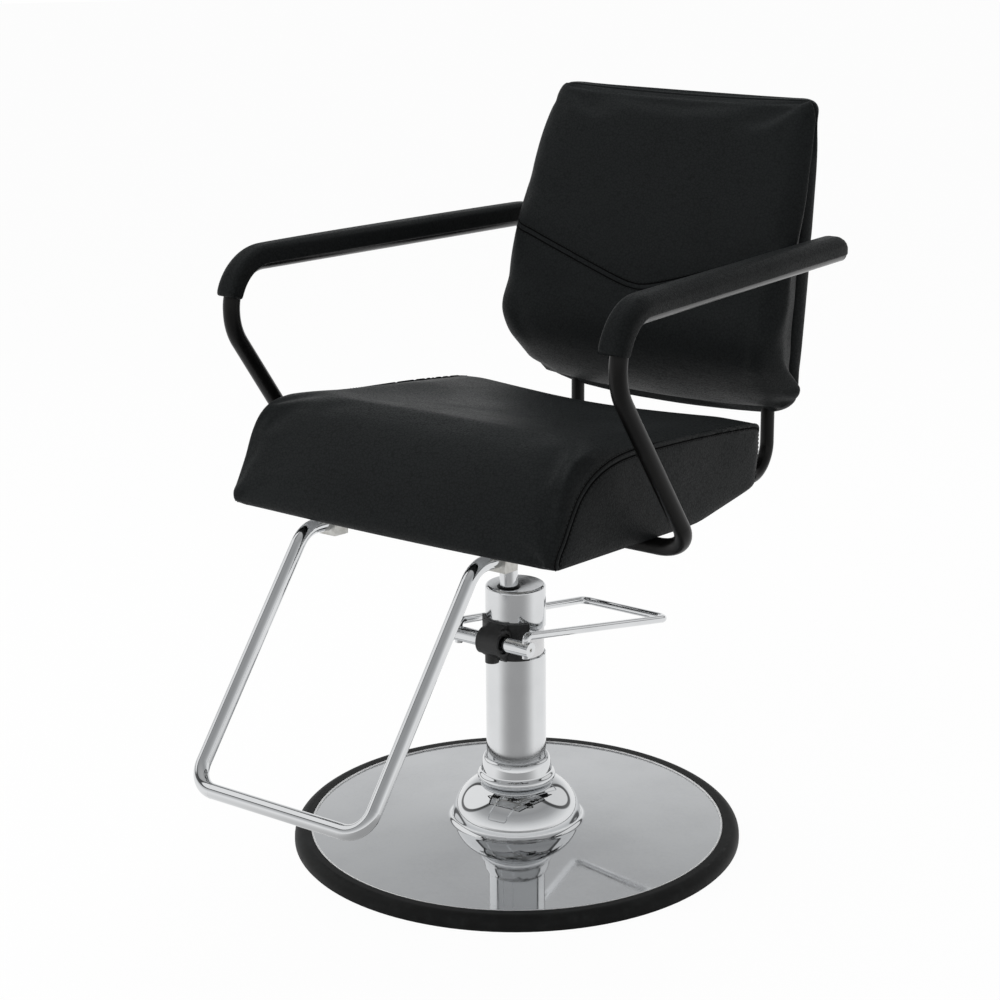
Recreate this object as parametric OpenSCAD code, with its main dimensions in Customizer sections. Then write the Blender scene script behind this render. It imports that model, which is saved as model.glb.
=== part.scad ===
// Hydraulic styling chair: weighted round base, pump column with a foot pedal, padded seat and
// back, bent tube arms with padded covers, and a hoop footrest. All lengths are in millimetres.
// The sitter faces -Y and +X is the sitter's left. The origin is on the floor at the base's centre.

/* [Base] */
// Outside diameter of the rubber edge ring
base_d = 600; // [500:10:700]
// Radial width of the rubber edge ring outside the cover
ring_w = 19; // [14:1:26]
// Height of the rubber edge ring
ring_h = 19.5; // [18.5:0.5:24]
// Height of the cover's rim above the floor
rim_z = 17; // [16.5:0.25:17.5]
// How much the cover rises from its rim to the foot of the dome
cover_rise = 8; // [6:1:12]
// Thickness of the cover's sheet metal
cover_t = 2; // [1.5:0.5:3]
// Diameter of the dome at its foot
dome_d = 172; // [160:2:200]
// Thickness of the base weight
weight_t = 10; // [8:1:11]

/* [Column] */
// Outside diameter of the column's sleeve and cap
column_d = 80; // [76:1:84]
// Height of the sleeve's top edge
sleeve_top = 261; // [250:1:264]
// Height of the cap's lower edge
cap_low = 299; // [297:1:303]
// Height of the cap's top face
cap_top = 355; // [350:1:362]
// Greatest diameter of the collar at the column's foot
collar_d = 105; // [100:1:110]
// Height of the collar
collar_h = 35; // [30:1:40]
// Diameter of the lift ram
ram_d = 24; // [22:0.5:26]
// How far the ram stands in front of the column's centre
ram_offset = 15; // [12:0.5:16]
// Height of the ram's top end in the photographed position
ram_top = 444; // [438:1:450]

/* [Pedal] */
// Diameter of the cross shaft
shaft_d = 20; // [18:0.5:21]
// Length of the cross shaft
shaft_len = 124; // [116:2:136]
// How far the cross shaft stands in front of the column's centre
shaft_offset = 53; // [52:0.5:56]
// Height of the cross shaft
shaft_z = 290; // [288:0.5:292]
// Diameter of the pedal's wire
wire_d = 10.8; // [9.8:0.2:11.2]
// Distance from the column's centre back to the pedal's end bar
pedal_reach = 264; // [220:2:290]
// Drop of the pedal's end bar below the cross shaft
pedal_drop = 46; // [32:1:60]
// Distance between the wires at the end bar
pedal_w = 140; // [126:2:150]

/* [Seat] */
// Width of the seat at its front
seat_w = 496; // [460:2:520]
// Width of the seat at its rear
seat_rear_w = 474; // [440:2:492]
// Length of the seat's underside from the front to where it turns up
seat_flat = 336; // [320:2:350]
// Distance from the column's centre to the front bottom edge
seat_front = 276; // [266:2:290]
// Distance from the column's centre to the rear top edge
seat_back = 214; // [206:1:222]
// Thickness of the seat at its front
seat_front_h = 127; // [118:1:136]
// Thickness of the seat at its rear
seat_rear_h = 106; // [98:1:110]
// Height of the seat's underside above the floor at the column's centre
seat_z = 471.6; // [468:0.2:478]
// Backward tilt of the seat in degrees
seat_tilt = 4.45; // [4:0.05:5]
// Thickness of the seat board
board_t = 12; // [10:1:14]

/* [Back] */
// Height of the back's bottom edge
back_low = 538; // [534:1:542]
// Height of the back's top edge
back_high = 958; // [930:2:980]
// Width of the back at its widest
back_w = 448; // [432:2:452]
// Width of the back at its top
back_top_w = 420; // [408:2:426]
// Distance of the back's front face behind the column at its fullest height
back_front_y = 260; // [256:1:268]
// Distance of the back's rear face behind the column at the bottom
back_rear_y = 391; // [390:1:396]
// Distance of the back's rear face behind the column at the top
back_top_y = 429; // [424:1:434]
// Height of the sewn seam at the middle of the back
seam_z = 702; // [690:2:720]
// Rise of the sewn seam from the middle to each side
seam_rise = 74; // [60:2:90]

/* [Arms] */
// Diameter of the arm tube
arm_d = 22; // [22:0.5:25]
// Wall of the arm tube
arm_wall = 2; // [1.5:0.25:3]
// Distance from the seat's middle to the arm tube at the front
arm_x = 294; // [288:1:300]
// Distance from the seat's middle to the arm tube at its rear end
arm_rear_x = 256; // [252:1:268]
// Height of the arm tube's middle at the front
arm_z = 779; // [770:1:790]
// Height of the arm tube's middle at its rear end
arm_rear_z = 761; // [752:1:768]
// Distance from the column's centre to the arm's front
arm_front = 207; // [200:1:214]
// Distance from the column's centre to the arm's rear end
arm_rear = 383; // [370:1:392]
// Width of the padded cover
pad_w = 35; // [34:1:42]
// Height of the padded cover above the tube
pad_h = 13; // [12:0.5:17]

/* [Footrest] */
// Diameter of the footrest's tube
foot_d = 19; // [18:0.25:20]
// Wall of the footrest's tube
foot_wall = 1.8; // [1.5:0.1:2.5]
// Distance between the footrest's two legs
foot_w = 264; // [250:2:272]
// Distance from the column's centre to the footrest's bar
foot_reach = 483; // [460:1:500]
// Height of the footrest's bar
foot_z = 206; // [180:2:230]
// Radius of the bends at the footrest's bar
foot_bend = 31; // [24:1:40]

/* [Hidden] */

// Overrun of every cut, running clearance, and the gap at which separate pieces seat
over = 1;
run_gap = 0.05;
seat_gap = 0.3;

// A bar is this much thinner than its bends and ends this far inside them
bend_step = 0.05;
bend_lap = 0.5;

// Facets of the round pieces
$fn = 72;

// Base, worked out from the sizes above
ring_r = base_d / 2;
rim_r = ring_r - ring_w;
ring_foot = 3;
ring_foot_w = 16;
ring_lip_w = 3;
ring_round = 13;
ring_chamfer = 2;
dome_r = dome_d / 2;
dome_z = rim_z + cover_rise;
dome_share = 0.605;
dome_round = dome_share * dome_r;
dome_mid_r = dome_r - dome_round;
dome_mid_rise = 3;
dome_mid_z = dome_z + dome_mid_rise;
dome_end = 76;
dome_top_z = dome_mid_z + dome_round * sin(dome_end);
flare_r = 8;
flare_z = dome_z + flare_r;
flare_turn = asin((flare_z - dome_mid_z) / (dome_round + flare_r));
flare_mid_r = dome_mid_r + (dome_round + flare_r) * cos(flare_turn);
weight_z = ring_foot;
weight_top = weight_z + weight_t;

// Column
column_r = column_d / 2;
sleeve_t = 2;
sleeve_bore = column_r - sleeve_t;
reservoir_r = sleeve_bore - seat_gap;
reservoir_t = 3.5;
reservoir_bore = reservoir_r - reservoir_t;
collar_r = collar_d / 2;
collar_z = dome_top_z + seat_gap;
collar_top = collar_z + collar_h;
collar_round = 7;
neck_t = 3;
foot_flange_r = 62;
foot_flange_t = 10;
foot_hub_t = 7;
foot_hub_h = 30;
foot_floor_z = weight_top + foot_flange_t;
foot_bolt_d = 8;
foot_bolt_pcd = 104;
foot_bolt_count = 4;
cap_t = 3;
cap_round = 4;
cap_under = cap_top - cap_t;
plug_h = 26;
plug_top = cap_under - seat_gap;
ram_r = ram_d / 2;
ram_y = -ram_offset;
cylinder_t = 2.5;
cylinder_bore = ram_r + cylinder_t;
cylinder_r = cylinder_bore + cylinder_t;
cylinder_floor = foot_floor_z + seat_gap;
guide_t = 3;
guide_r = ram_r + guide_t;
guide_h = plug_h;
wiper_r = guide_r + seat_gap;
wiper_lip_h = 2;
wiper_h = cap_t + wiper_lip_h;
ram_low = 74;
piston_h = 20;
piston_t = 6;

// Pedal and pump drive
shaft_r = shaft_d / 2;
shaft_y = -shaft_offset;
journal_r = 4.5;
journal_offset = 2.7;
journal_len = 12;
barrel_r = 18;
barrel_len = 34;
barrel_shift = 3;
recess_r = 14;
recess_h = 4;
saddle_t = 4;
saddle_low = sleeve_top + seat_gap;
saddle_top = 312;
saddle_spread = 60;
wire_r = wire_d / 2;
wire_inset = 8;
wire_x = shaft_len / 2 - wire_inset;
wire_bend = 6;
wire_bend_share = 1.25;
wire_rise = shaft_r + wire_bend_share * wire_bend;
wire_corner = 13;
screw_d = 5;
screw_len = 2.2;
wire_end = shaft_r + screw_len;
screw_key_d = 2.6;
plunger_r = 4;
plunger_top = shaft_z - journal_r - run_gap;
plunger_collar_r = 5.6;
plunger_collar_t = 2;
plunger_plug_t = 2.4;
spring_wire_d = 1.2;
spring_turns = 4;
spring_sides = 6;
spring_steps = 12;
plunger_bore_r = plunger_collar_r + 2 * seat_gap;
plunger_boss_t = 3;
plunger_boss_r = plunger_bore_r + plunger_boss_t;
spring_room = 8.6;
plunger_collar_z = saddle_low + plunger_plug_t + spring_room;

// Seat, in a frame that tilts with it: its origin is above the column on the seat's underside
seat_half = seat_w / 2;
seat_rear_half = seat_rear_w / 2;
seat_turn = seat_flat - seat_front;
rear_low_w = 26;
rear_low_inset = 3;
rear_low_v = seat_back - rear_low_inset;
seat_dish = 10;
seat_edge_t = 1;
rear_round = 10;
rear_round_share = 0.3;
rear_puff = 6;
seat_corner_r = 4;
seat_side_draw = 3;
seat_sag = 2.8;
seat_bow = 10;
half_stations = [0.25, 0.5, 0.75, 0.87, 0.94, 0.975, 0.992, 1];
side_stations = concat([for (i = [7 : -1 : 0]) -half_stations[i]], [0], half_stations);
board_inset = 14;
hub_r = 30;
hub_clear = 47;
hub_low = cap_top + hub_clear;
hub_plate_w = 190;
hub_plate_len = 180;
hub_plate_t = 6;
hub_rib_t = 7;
hub_bolt_d = 8;
hub_bolt_w = 156;
hub_bolt_len = 146;
disc_t = 2.4;

// Footrest, clamps and arms
foot_r = foot_d / 2;
foot_run_drop = 18;
foot_run_end = 70;
foot_top_bend = 40;
foot_lean_y = 265;
clamp_w = 62;
clamp_len = 26;
clamp_t = 5;
clamp_rear_inset = 45;
clamp_front_inset = 55;
back_clamp_inset = 20;
back_clamp_step = 64;
clamp_bolt_d = 6;
head_t = 4;
plug_t = 3;
arm_r = arm_d / 2;
arm_run_y = -37;
arm_plate_t = 3;
arm_plate_w = 66;
arm_plate_len = 84;
arm_plate_rim = 7;
arm_inner_x = seat_rear_half - board_inset - arm_plate_w - arm_plate_rim;
arm_bend = 54;
arm_bend_low = 70;
arm_bend_seat = 50;
arm_knee_z = 697;
pad_end_share = 0.72;
pad_turn_share = 0.85;
pad_steps = 12;
pad_wrap_share = -0.1;
pad_lip_share = 0.2;
pad_shift = 1.5;
pad_inner_share = 0.42;
pad_outer_share = 0.95;
back_tube_d = 19;
back_tube_r = back_tube_d / 2;
back_tube_share = 2 / 3;
back_tube_x = back_tube_share * seat_rear_half;
back_tube_y = 378;
back_tube_z = 447;
back_tube_top = 650;
back_tube_start = 20;
back_tube_bend = 42;

// Back
back_half = back_w / 2;
back_top_half = back_top_w / 2;
shell_low_t = 39;
shell_top_t = 25;
shell_edge_share = 0.3;
corner_z = 16;
corner_low_z = 24;
corner_r = 17;
valley_d = 9;
back_board_t = 9;
back_board_inset = 34;
cushion_low_rise = 10;
cushion_low = back_low + cushion_low_rise;
back_foot_reach = 62;
back_sag = 11;
shell_foot_lift = 10;
shell_foot_drop = 4;
back_full_z = 690;
back_dish = 9;
edge_round = 20;
edge_start_share = 0.88;
seam_soft_share = 0.1;
rim_t = 4;
shell_half = 205;
seam_depth = 3;
seam_w = 5;
clip_half = 27;
clip_t = 3;
clip_inset = 12;
clip_screw_d = 5;

function lerp(a, b, t) = a + (b - a) * t;
function unit(v) = v / norm(v);
function arc(c, r, from, to, steps) =
    [for (i = [0 : steps]) let (a = lerp(from, to, i / steps)) c + r * [cos(a), sin(a)]];

// Length from a corner to where its bend starts, and a path's directions at each leg
function turn_angle(p, i) = acos(unit(p[i] - p[i - 1]) * unit(p[i + 1] - p[i]));
function bend_reach(p, bends, i) =
    i == 0 || i == len(p) - 1 ? 0 : bends[i - 1] * tan(turn_angle(p, i) / 2);

// Places children with their X along x, Y along y and Z along z
module placed(at, x, y, z) {
    multmatrix([[x[0], y[0], z[0], at[0]], [x[1], y[1], z[1], at[1]],
        [x[2], y[2], z[2], at[2]], [0, 0, 0, 1]])
        children();
}

// A direction that is never along z, to turn round parts by
function side_of(z) = abs(z[0]) < 0.8 ? [1, 0, 0] : [0, 1, 0];

// Straight bar or tube from a to b
module bar(a, b, r, bore = 0) {
    z = unit(b - a);
    y = unit(cross(z, side_of(z)));
    placed(a, cross(y, z), y, z)
        difference() {
            cylinder(r = r, h = norm(b - a));
            if (bore > 0)
                translate([0, 0, -over])
                    cylinder(r = bore, h = norm(b - a) + 2 * over);
        }
}

// Bar or tube along the points p, with a bend of the given radius at each inner point
module bent_bar(p, bends, r, bore = 0) {
    last = len(p) - 2;
    union() {
        for (i = [0 : last]) {
            d = unit(p[i + 1] - p[i]);
            bar(p[i] + d * (bend_reach(p, bends, i) - (i > 0 ? bend_lap : 0)),
                p[i + 1] - d * (bend_reach(p, bends, i + 1) - (i < last ? bend_lap : 0)),
                r - bend_step, bore > 0 ? bore + bend_step : 0);
        }
        for (i = [1 : len(p) - 2]) {
            d1 = unit(p[i] - p[i - 1]);
            d2 = unit(p[i + 1] - p[i]);
            turn = turn_angle(p, i);
            centre = p[i] + unit(d2 - d1) * bends[i - 1] / cos(turn / 2);
            out = unit(p[i] - d1 * bend_reach(p, bends, i) - centre);
            placed(centre, out, d1, cross(out, d1))
                rotate_extrude(angle = turn)
                    translate([bends[i - 1], 0])
                        difference() {
                            circle(r = r);
                            if (bore > 0)
                                circle(r = bore);
                        }
        }
    }
}

// Point at the angle a round one bend of the same path, with its direction
function bend_point(p, bends, i, a) =
    let (d1 = unit(p[i] - p[i - 1]), d2 = unit(p[i + 1] - p[i]), turn = turn_angle(p, i),
        centre = p[i] + unit(d2 - d1) * bends[i - 1] / cos(turn / 2),
        out = unit(p[i] - d1 * bend_reach(p, bends, i) - centre))
    [centre + bends[i - 1] * (out * cos(a) + d1 * sin(a)), d1 * cos(a) - out * sin(a)];

// Closed skin over a list of rings that hold equally many points, with a fan at each end
module skin(rings) {
    m = len(rings[0]);
    n = len(rings);
    function middle(ring) = [for (k = [0 : 2]) (min([for (q = ring) q[k]]) + max([for (q = ring) q[k]])) / 2];
    points = concat([for (ring = rings) each ring], [middle(rings[0]), middle(rings[n - 1])]);
    sides = [for (i = [0 : n - 2], j = [0 : m - 1])
        let (a = i * m + j, b = i * m + (j + 1) % m, c = a + m, d = b + m)
        each [[a, b, d], [a, d, c]]];
    ends = [for (j = [0 : m - 1])
        let (k = (j + 1) % m)
        each [[k, j, n * m], [(n - 1) * m + j, (n - 1) * m + k, n * m + 1]]];
    polyhedron(points, concat(sides, ends));
}

module on_right() {
    mirror([1, 0, 0])
        children();
}

module both_sides() {
    children();
    on_right()
        children();
}

module in_seat() {
    translate([0, 0, seat_z])
        rotate([-seat_tilt, 0, 0])
            children();
}
// A point of the tilted seat frame in the chair's frame
function seat_point(x, v, w) = [x, v * cos(seat_tilt) + w * sin(seat_tilt),
    seat_z - v * sin(seat_tilt) + w * cos(seat_tilt)];

// Hexagon bolt with its head down, standing on z = 0 and pointing up
module bolt_up(d, length) {
    translate([0, 0, -head_t])
        cylinder(d = 1.7 * d, h = head_t, $fn = 6);
    cylinder(d = d, h = length);
}

// Base

module edge_ring() {
    color("#161718")
        rotate_extrude($fn = 144)
            difference() {
                union() {
                    translate([rim_r - ring_foot_w, 0])
                        square([ring_foot_w + ring_w - ring_chamfer, ring_h - ring_round]);
                    translate([rim_r - ring_lip_w, ring_foot])
                        square([ring_lip_w + ring_w - ring_round, ring_h - ring_foot]);
                    translate([0, ring_chamfer])
                        square([ring_r, ring_h - ring_round - ring_chamfer]);
                    translate([ring_r - ring_round, ring_h - ring_round])
                        circle(r = ring_round);
                }
                translate([0, -over])
                    square([rim_r - ring_foot_w, ring_h + 2 * over]);
                translate([0, ring_foot])
                    square([rim_r + seat_gap, rim_z + seat_gap - ring_foot]);
                translate([0, rim_z])
                    square([rim_r - ring_lip_w, ring_h]);
                translate([0, -ring_h])
                    square([ring_r + over, ring_h]);
            }
}

module base_weight() {
    color("#3b3d40")
        difference() {
            translate([0, 0, weight_z])
                cylinder(r = rim_r - cover_t - over, h = weight_t, $fn = 144);
            foot_bolt_places()
                translate([0, 0, weight_z - over])
                    cylinder(d = foot_bolt_d + 2 * seat_gap, h = weight_t + 2 * over);
        }
}

// Half section of the cover's outer face, from the rim to the top of the dome
function cover_face(t) = concat(
    [[rim_r - t, ring_foot], [rim_r - t, rim_z - t]],
    arc([flare_mid_r, flare_z], flare_r + t, 270, 180 + flare_turn, 6),
    arc([dome_mid_r, dome_mid_z], dome_round - t, flare_turn, dome_end, 12));

module base_cover() {
    color("#c9ccd0")
        rotate_extrude($fn = 144)
            difference() {
                polygon(concat([[0, ring_foot]], cover_face(0), [[0, dome_top_z]]));
                polygon(concat([[0, ring_foot - over]], [[rim_r - cover_t, ring_foot - over]],
                    cover_face(cover_t), [[0, dome_top_z - cover_t]]));
                square([column_r + seat_gap, 2 * dome_top_z]);
            }
}

module column_collar() {
    color("#c9ccd0")
        rotate_extrude()
            difference() {
                union() {
                    translate([collar_r - collar_round, collar_z + collar_round])
                        circle(r = collar_round);
                    polygon([[column_r, collar_z], [collar_r - collar_round, collar_z],
                        [collar_r - 0.25 * collar_round, collar_z + 1.6 * collar_round],
                        [column_r + neck_t, collar_top - neck_t / 2],
                        [column_r + neck_t / 2, collar_top], [column_r, collar_top]]);
                }
                square([column_r + seat_gap, 2 * collar_top]);
            }
}

module foot_bolt_places() {
    for (i = [0 : foot_bolt_count - 1])
        rotate([0, 0, (i + 0.5) * 360 / foot_bolt_count])
            translate([foot_bolt_pcd / 2, 0, 0])
                children();
}

module pump_foot() {
    color("#55585c")
        difference() {
            translate([0, 0, weight_top])
                union() {
                    cylinder(r = foot_flange_r, h = foot_flange_t);
                    cylinder(r = reservoir_r + foot_hub_t, h = foot_hub_h);
                }
            translate([0, 0, foot_floor_z])
                cylinder(r = reservoir_r + run_gap, h = foot_hub_h);
            foot_bolt_places()
                translate([0, 0, weight_top - over])
                    cylinder(d = foot_bolt_d + 2 * seat_gap, h = foot_flange_t + 2 * over);
        }
}

module foot_bolts() {
    color("#8d9196")
        foot_bolt_places()
            translate([0, 0, foot_floor_z])
                mirror([0, 0, 1])
                    bolt_up(foot_bolt_d, foot_flange_t + weight_t - over);
}

// Column and pump

module pump_reservoir() {
    color("#b9bdc2")
        difference() {
            translate([0, 0, foot_floor_z])
                cylinder(r = reservoir_r, h = cap_under - seat_gap - foot_floor_z);
            translate([0, 0, foot_floor_z - over])
                cylinder(r = reservoir_bore, h = cap_top);
        }
}

module column_sleeve() {
    color("#d3d6da")
        rotate_extrude()
            translate([sleeve_bore, 0])
                polygon([[0, collar_z], [sleeve_t, collar_z], [sleeve_t, sleeve_top - sleeve_t / 2],
                    [sleeve_t / 2, sleeve_top], [0, sleeve_top]]);
}

module lift_cylinder() {
    color("#6d7176")
        translate([0, ram_y, cylinder_floor])
            difference() {
                cylinder(r = cylinder_r, h = plug_top - plug_h - seat_gap - cylinder_floor);
                translate([0, 0, cylinder_t])
                    cylinder(r = cylinder_bore, h = cap_top);
            }
}

module head_plug() {
    color("#8d9196")
        translate([0, 0, plug_top - plug_h])
            difference() {
                cylinder(r = reservoir_bore - run_gap, h = plug_h);
                translate([0, ram_y, -over])
                    cylinder(r = guide_r + run_gap, h = plug_h + 2 * over);
            }
}

module ram_guide() {
    color("#b08d57")
        translate([0, ram_y, plug_top - guide_h])
            difference() {
                cylinder(r = guide_r, h = guide_h);
                translate([0, 0, -over])
                    cylinder(r = ram_r + run_gap, h = guide_h + 2 * over);
            }
}

module ram_wiper() {
    color("#161718")
        translate([0, ram_y, cap_under])
            rotate_extrude()
                polygon([[ram_r + 1.5 * run_gap, 0], [wiper_r, 0], [wiper_r, cap_t],
                    [ram_r + wiper_h - cap_t, wiper_h], [ram_r + 1.5 * run_gap, wiper_h]]);
}

module column_cap() {
    color("#d3d6da")
        difference() {
            rotate_extrude()
                difference() {
                    union() {
                        translate([0, cap_low])
                            square([column_r, cap_top - cap_round - cap_low]);
                        square([column_r - cap_round, cap_top]);
                        translate([column_r - cap_round, cap_top - cap_round])
                            circle(r = cap_round);
                    }
                    translate([0, -over])
                        square([sleeve_bore, cap_under + over]);
                    square([cap_top, cap_low]);
                }
            translate([0, ram_y, cap_under - over])
                cylinder(r = wiper_r + seat_gap, h = cap_t + 2 * over);
        }
}

module shaft_axis() {
    translate([0, shaft_y, shaft_z])
        rotate([0, 90, 0])
            children();
}

// Moulded saddle round the column with a barrel that carries the cross shaft
module lever_housing() {
    saddle_r = column_r + saddle_t;
    color("#1b1c1e")
        difference() {
            union() {
                intersection() {
                    translate([0, 0, saddle_low])
                        cylinder(r = saddle_r, h = saddle_top - saddle_low);
                    translate([0, 0, saddle_low])
                        linear_extrude(saddle_top - saddle_low)
                            polygon([[0, 0], for (a = [-1, 1])
                                2 * saddle_r * [sin(a * saddle_spread), -cos(saddle_spread)]]);
                }
                translate([barrel_shift, 0, 0])
                    shaft_axis()
                        cylinder(r = barrel_r, h = barrel_len, center = true);
                translate([0, shaft_y, saddle_low])
                    cylinder(r = plunger_boss_r, h = shaft_z - saddle_low);
                translate([barrel_shift, 0, 0])
                    hull() {
                        shaft_axis()
                            cylinder(r = barrel_r, h = barrel_len - 2 * saddle_t, center = true, $fn = 32);
                        translate([-barrel_len / 2 + saddle_t, -saddle_r, saddle_low])
                            cube([barrel_len - 2 * saddle_t, saddle_t, saddle_top - saddle_low]);
                    }
            }
            translate([0, 0, saddle_low - over])
                cylinder(r = column_r + seat_gap, h = saddle_top);
            shaft_axis()
                cylinder(r = shaft_r + run_gap, h = 2 * barrel_len, center = true);
            for (side = [-1, 1])
                translate([barrel_shift + side * (barrel_len - recess_h + over) / 2, 0, 0])
                    shaft_axis()
                        cylinder(r = recess_r, h = recess_h + over, center = true);
            translate([0, shaft_y, saddle_low - over]) {
                cylinder(r = plunger_r + run_gap, h = shaft_z - saddle_low);
                cylinder(r = plunger_bore_r, h = plunger_collar_z + plunger_collar_t + over - saddle_low);
            }
        }
}

module plunger_plug() {
    color("#8d9196")
        translate([0, shaft_y, saddle_low])
            cylinder(r = plunger_bore_r - run_gap, h = plunger_plug_t);
}

// Cross shaft with an eccentric journal that drives the plunger, and a cross hole for each wire
module lever_shaft() {
    end_len = (shaft_len - journal_len) / 2;
    color("#d3d6da")
        difference() {
            union() {
                for (side = [-1, 1])
                    translate([side * (journal_len + end_len) / 2, 0, 0])
                        shaft_axis()
                            cylinder(r = shaft_r, h = end_len, center = true);
                translate([0, journal_offset, 0])
                    shaft_axis()
                        cylinder(r = journal_r, h = journal_len, center = true);
            }
            both_sides() {
                translate([wire_x, shaft_y, shaft_z - shaft_d])
                    cylinder(r = wire_r + run_gap, h = 2 * shaft_d);
                translate([wire_x, 0, 0])
                    shaft_axis()
                        cylinder(d = screw_d + 2 * run_gap, h = shaft_d);
            }
        }
}

wire_path_half = [[wire_x, shaft_y, shaft_z - wire_end], [wire_x, shaft_y, shaft_z + wire_rise],
    [pedal_w / 2, pedal_reach, shaft_z - pedal_drop]];
wire_path = concat(wire_path_half,
    [for (i = [2 : -1 : 0]) [-wire_path_half[i][0], wire_path_half[i][1], wire_path_half[i][2]]]);

module pedal_loop() {
    color("#d3d6da")
        bent_bar(wire_path, [wire_bend, wire_corner, wire_corner, wire_bend], wire_r);
}

module pedal_screws() {
    color("#8d9196")
        both_sides()
            translate([wire_x + wire_r + run_gap, 0, 0])
                shaft_axis()
                    difference() {
                        cylinder(d = screw_d, h = screw_len);
                        translate([0, 0, screw_len / 2])
                            cylinder(d = screw_key_d, h = screw_len, $fn = 6);
                    }
}

module pump_plunger() {
    color("#8d9196")
        translate([0, shaft_y, 0]) {
            translate([0, 0, plunger_collar_z])
                cylinder(r = plunger_collar_r, h = plunger_collar_t);
            translate([0, 0, plunger_collar_z - 2 * plunger_collar_t])
                cylinder(r = plunger_r, h = plunger_top - plunger_collar_z + 2 * plunger_collar_t);
        }
}

module plunger_spring() {
    spring_r = plunger_collar_r - spring_wire_d / 2;
    low = saddle_low + plunger_plug_t + spring_wire_d / 2 + run_gap;
    high = plunger_collar_z - spring_wire_d / 2 - run_gap;
    steps = spring_turns * spring_steps;
    color("#8d9196")
        translate([0, shaft_y, 0])
            skin([for (i = [0 : steps])
                let (a = 360 * i / spring_steps, z = lerp(low, high, i / steps))
                [for (k = [0 : spring_sides - 1])
                    let (b = -360 * k / spring_sides, r = spring_r + spring_wire_d / 2 * cos(b))
                    [r * cos(a), r * sin(a), z + spring_wire_d / 2 * sin(b)]]]);
}

// Lift

module lift_ram() {
    color("#d3d6da")
        translate([0, ram_y, ram_low])
            cylinder(r = ram_r, h = ram_top - ram_low);
}

module piston_head() {
    color("#6d7176")
        translate([0, ram_y, ram_low - piston_t])
            difference() {
                cylinder(r = cylinder_bore - run_gap, h = piston_h);
                translate([0, 0, piston_t])
                    cylinder(r = ram_r + run_gap, h = piston_h);
            }
}

module swivel_disc() {
    color("#b08d57")
        translate([0, ram_y, ram_top])
            cylinder(r = ram_r - over, h = disc_t);
}

// Seat

module hub_bolt_places() {
    in_seat()
        for (x = [-1, 1], v = [-1, 1])
            translate([x * hub_bolt_w / 2, ram_y + v * hub_bolt_len / 2, -hub_plate_t])
                children();
}

module seat_hub() {
    color("#232426")
        difference() {
            union() {
                in_seat()
                    translate([-hub_plate_w / 2, ram_y - hub_plate_len / 2, -hub_plate_t])
                        cube([hub_plate_w, hub_plate_len, hub_plate_t]);
                difference() {
                    union() {
                        translate([0, ram_y, hub_low])
                            cylinder(r = hub_r, h = seat_z - hub_low);
                        for (a = [0 : 90 : 270])
                            translate([0, ram_y, 0])
                                rotate([0, 0, a])
                                    rotate([90, 0, 0])
                                        translate([0, 0, -hub_rib_t / 2])
                                            linear_extrude(hub_rib_t)
                                                polygon([[0, hub_low + hub_r / 2],
                                                    [hub_r, hub_low + hub_r / 2],
                                                    [hub_plate_len * 0.46, seat_z - 2 * hub_plate_t],
                                                    [hub_plate_len * 0.46, seat_z], [0, seat_z]]);
                    }
                    in_seat()
                        translate([-seat_w / 2, -seat_w / 2, -hub_plate_t / 2])
                            cube([seat_w, seat_w, seat_w]);
                }
            }
            translate([0, ram_y, hub_low - over])
                cylinder(r = ram_r + run_gap, h = ram_top + disc_t + seat_gap + over - hub_low);
            hub_bolt_places()
                translate([0, 0, -over])
                    cylinder(d = hub_bolt_d + 2 * seat_gap, h = hub_plate_t + 2 * over);
        }
}

module hub_bolts() {
    color("#8d9196")
        hub_bolt_places()
            bolt_up(hub_bolt_d, hub_plate_t + board_t - over);
}

// Side outline of the board in the tilted frame
board_line = [[-seat_front + board_inset, 0], [seat_turn, 0],
    [rear_low_v - board_inset,
        rear_low_w * (rear_low_v - board_inset - seat_turn) / (rear_low_v - seat_turn)]];

module board_prism(half, t) {
    rotate([90, 0, 90])
        translate([0, 0, -half])
            linear_extrude(2 * half)
                polygon(concat(board_line, [for (i = [2 : -1 : 0]) board_line[i] + [0, t]]));
}

module seat_board() {
    color("#8a6a45")
        difference() {
            in_seat()
                board_prism(seat_rear_half - board_inset, board_t);
            hub_bolt_places()
                cylinder(d = hub_bolt_d + 2 * seat_gap, h = 2 * board_t);
            clamp_bolt_places()
                cylinder(d = clamp_bolt_d + 2 * seat_gap, h = 2 * board_t);
            back_bolt_places()
                cylinder(d = clamp_bolt_d + 2 * seat_gap, h = 4 * board_t);
        }
}

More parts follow.
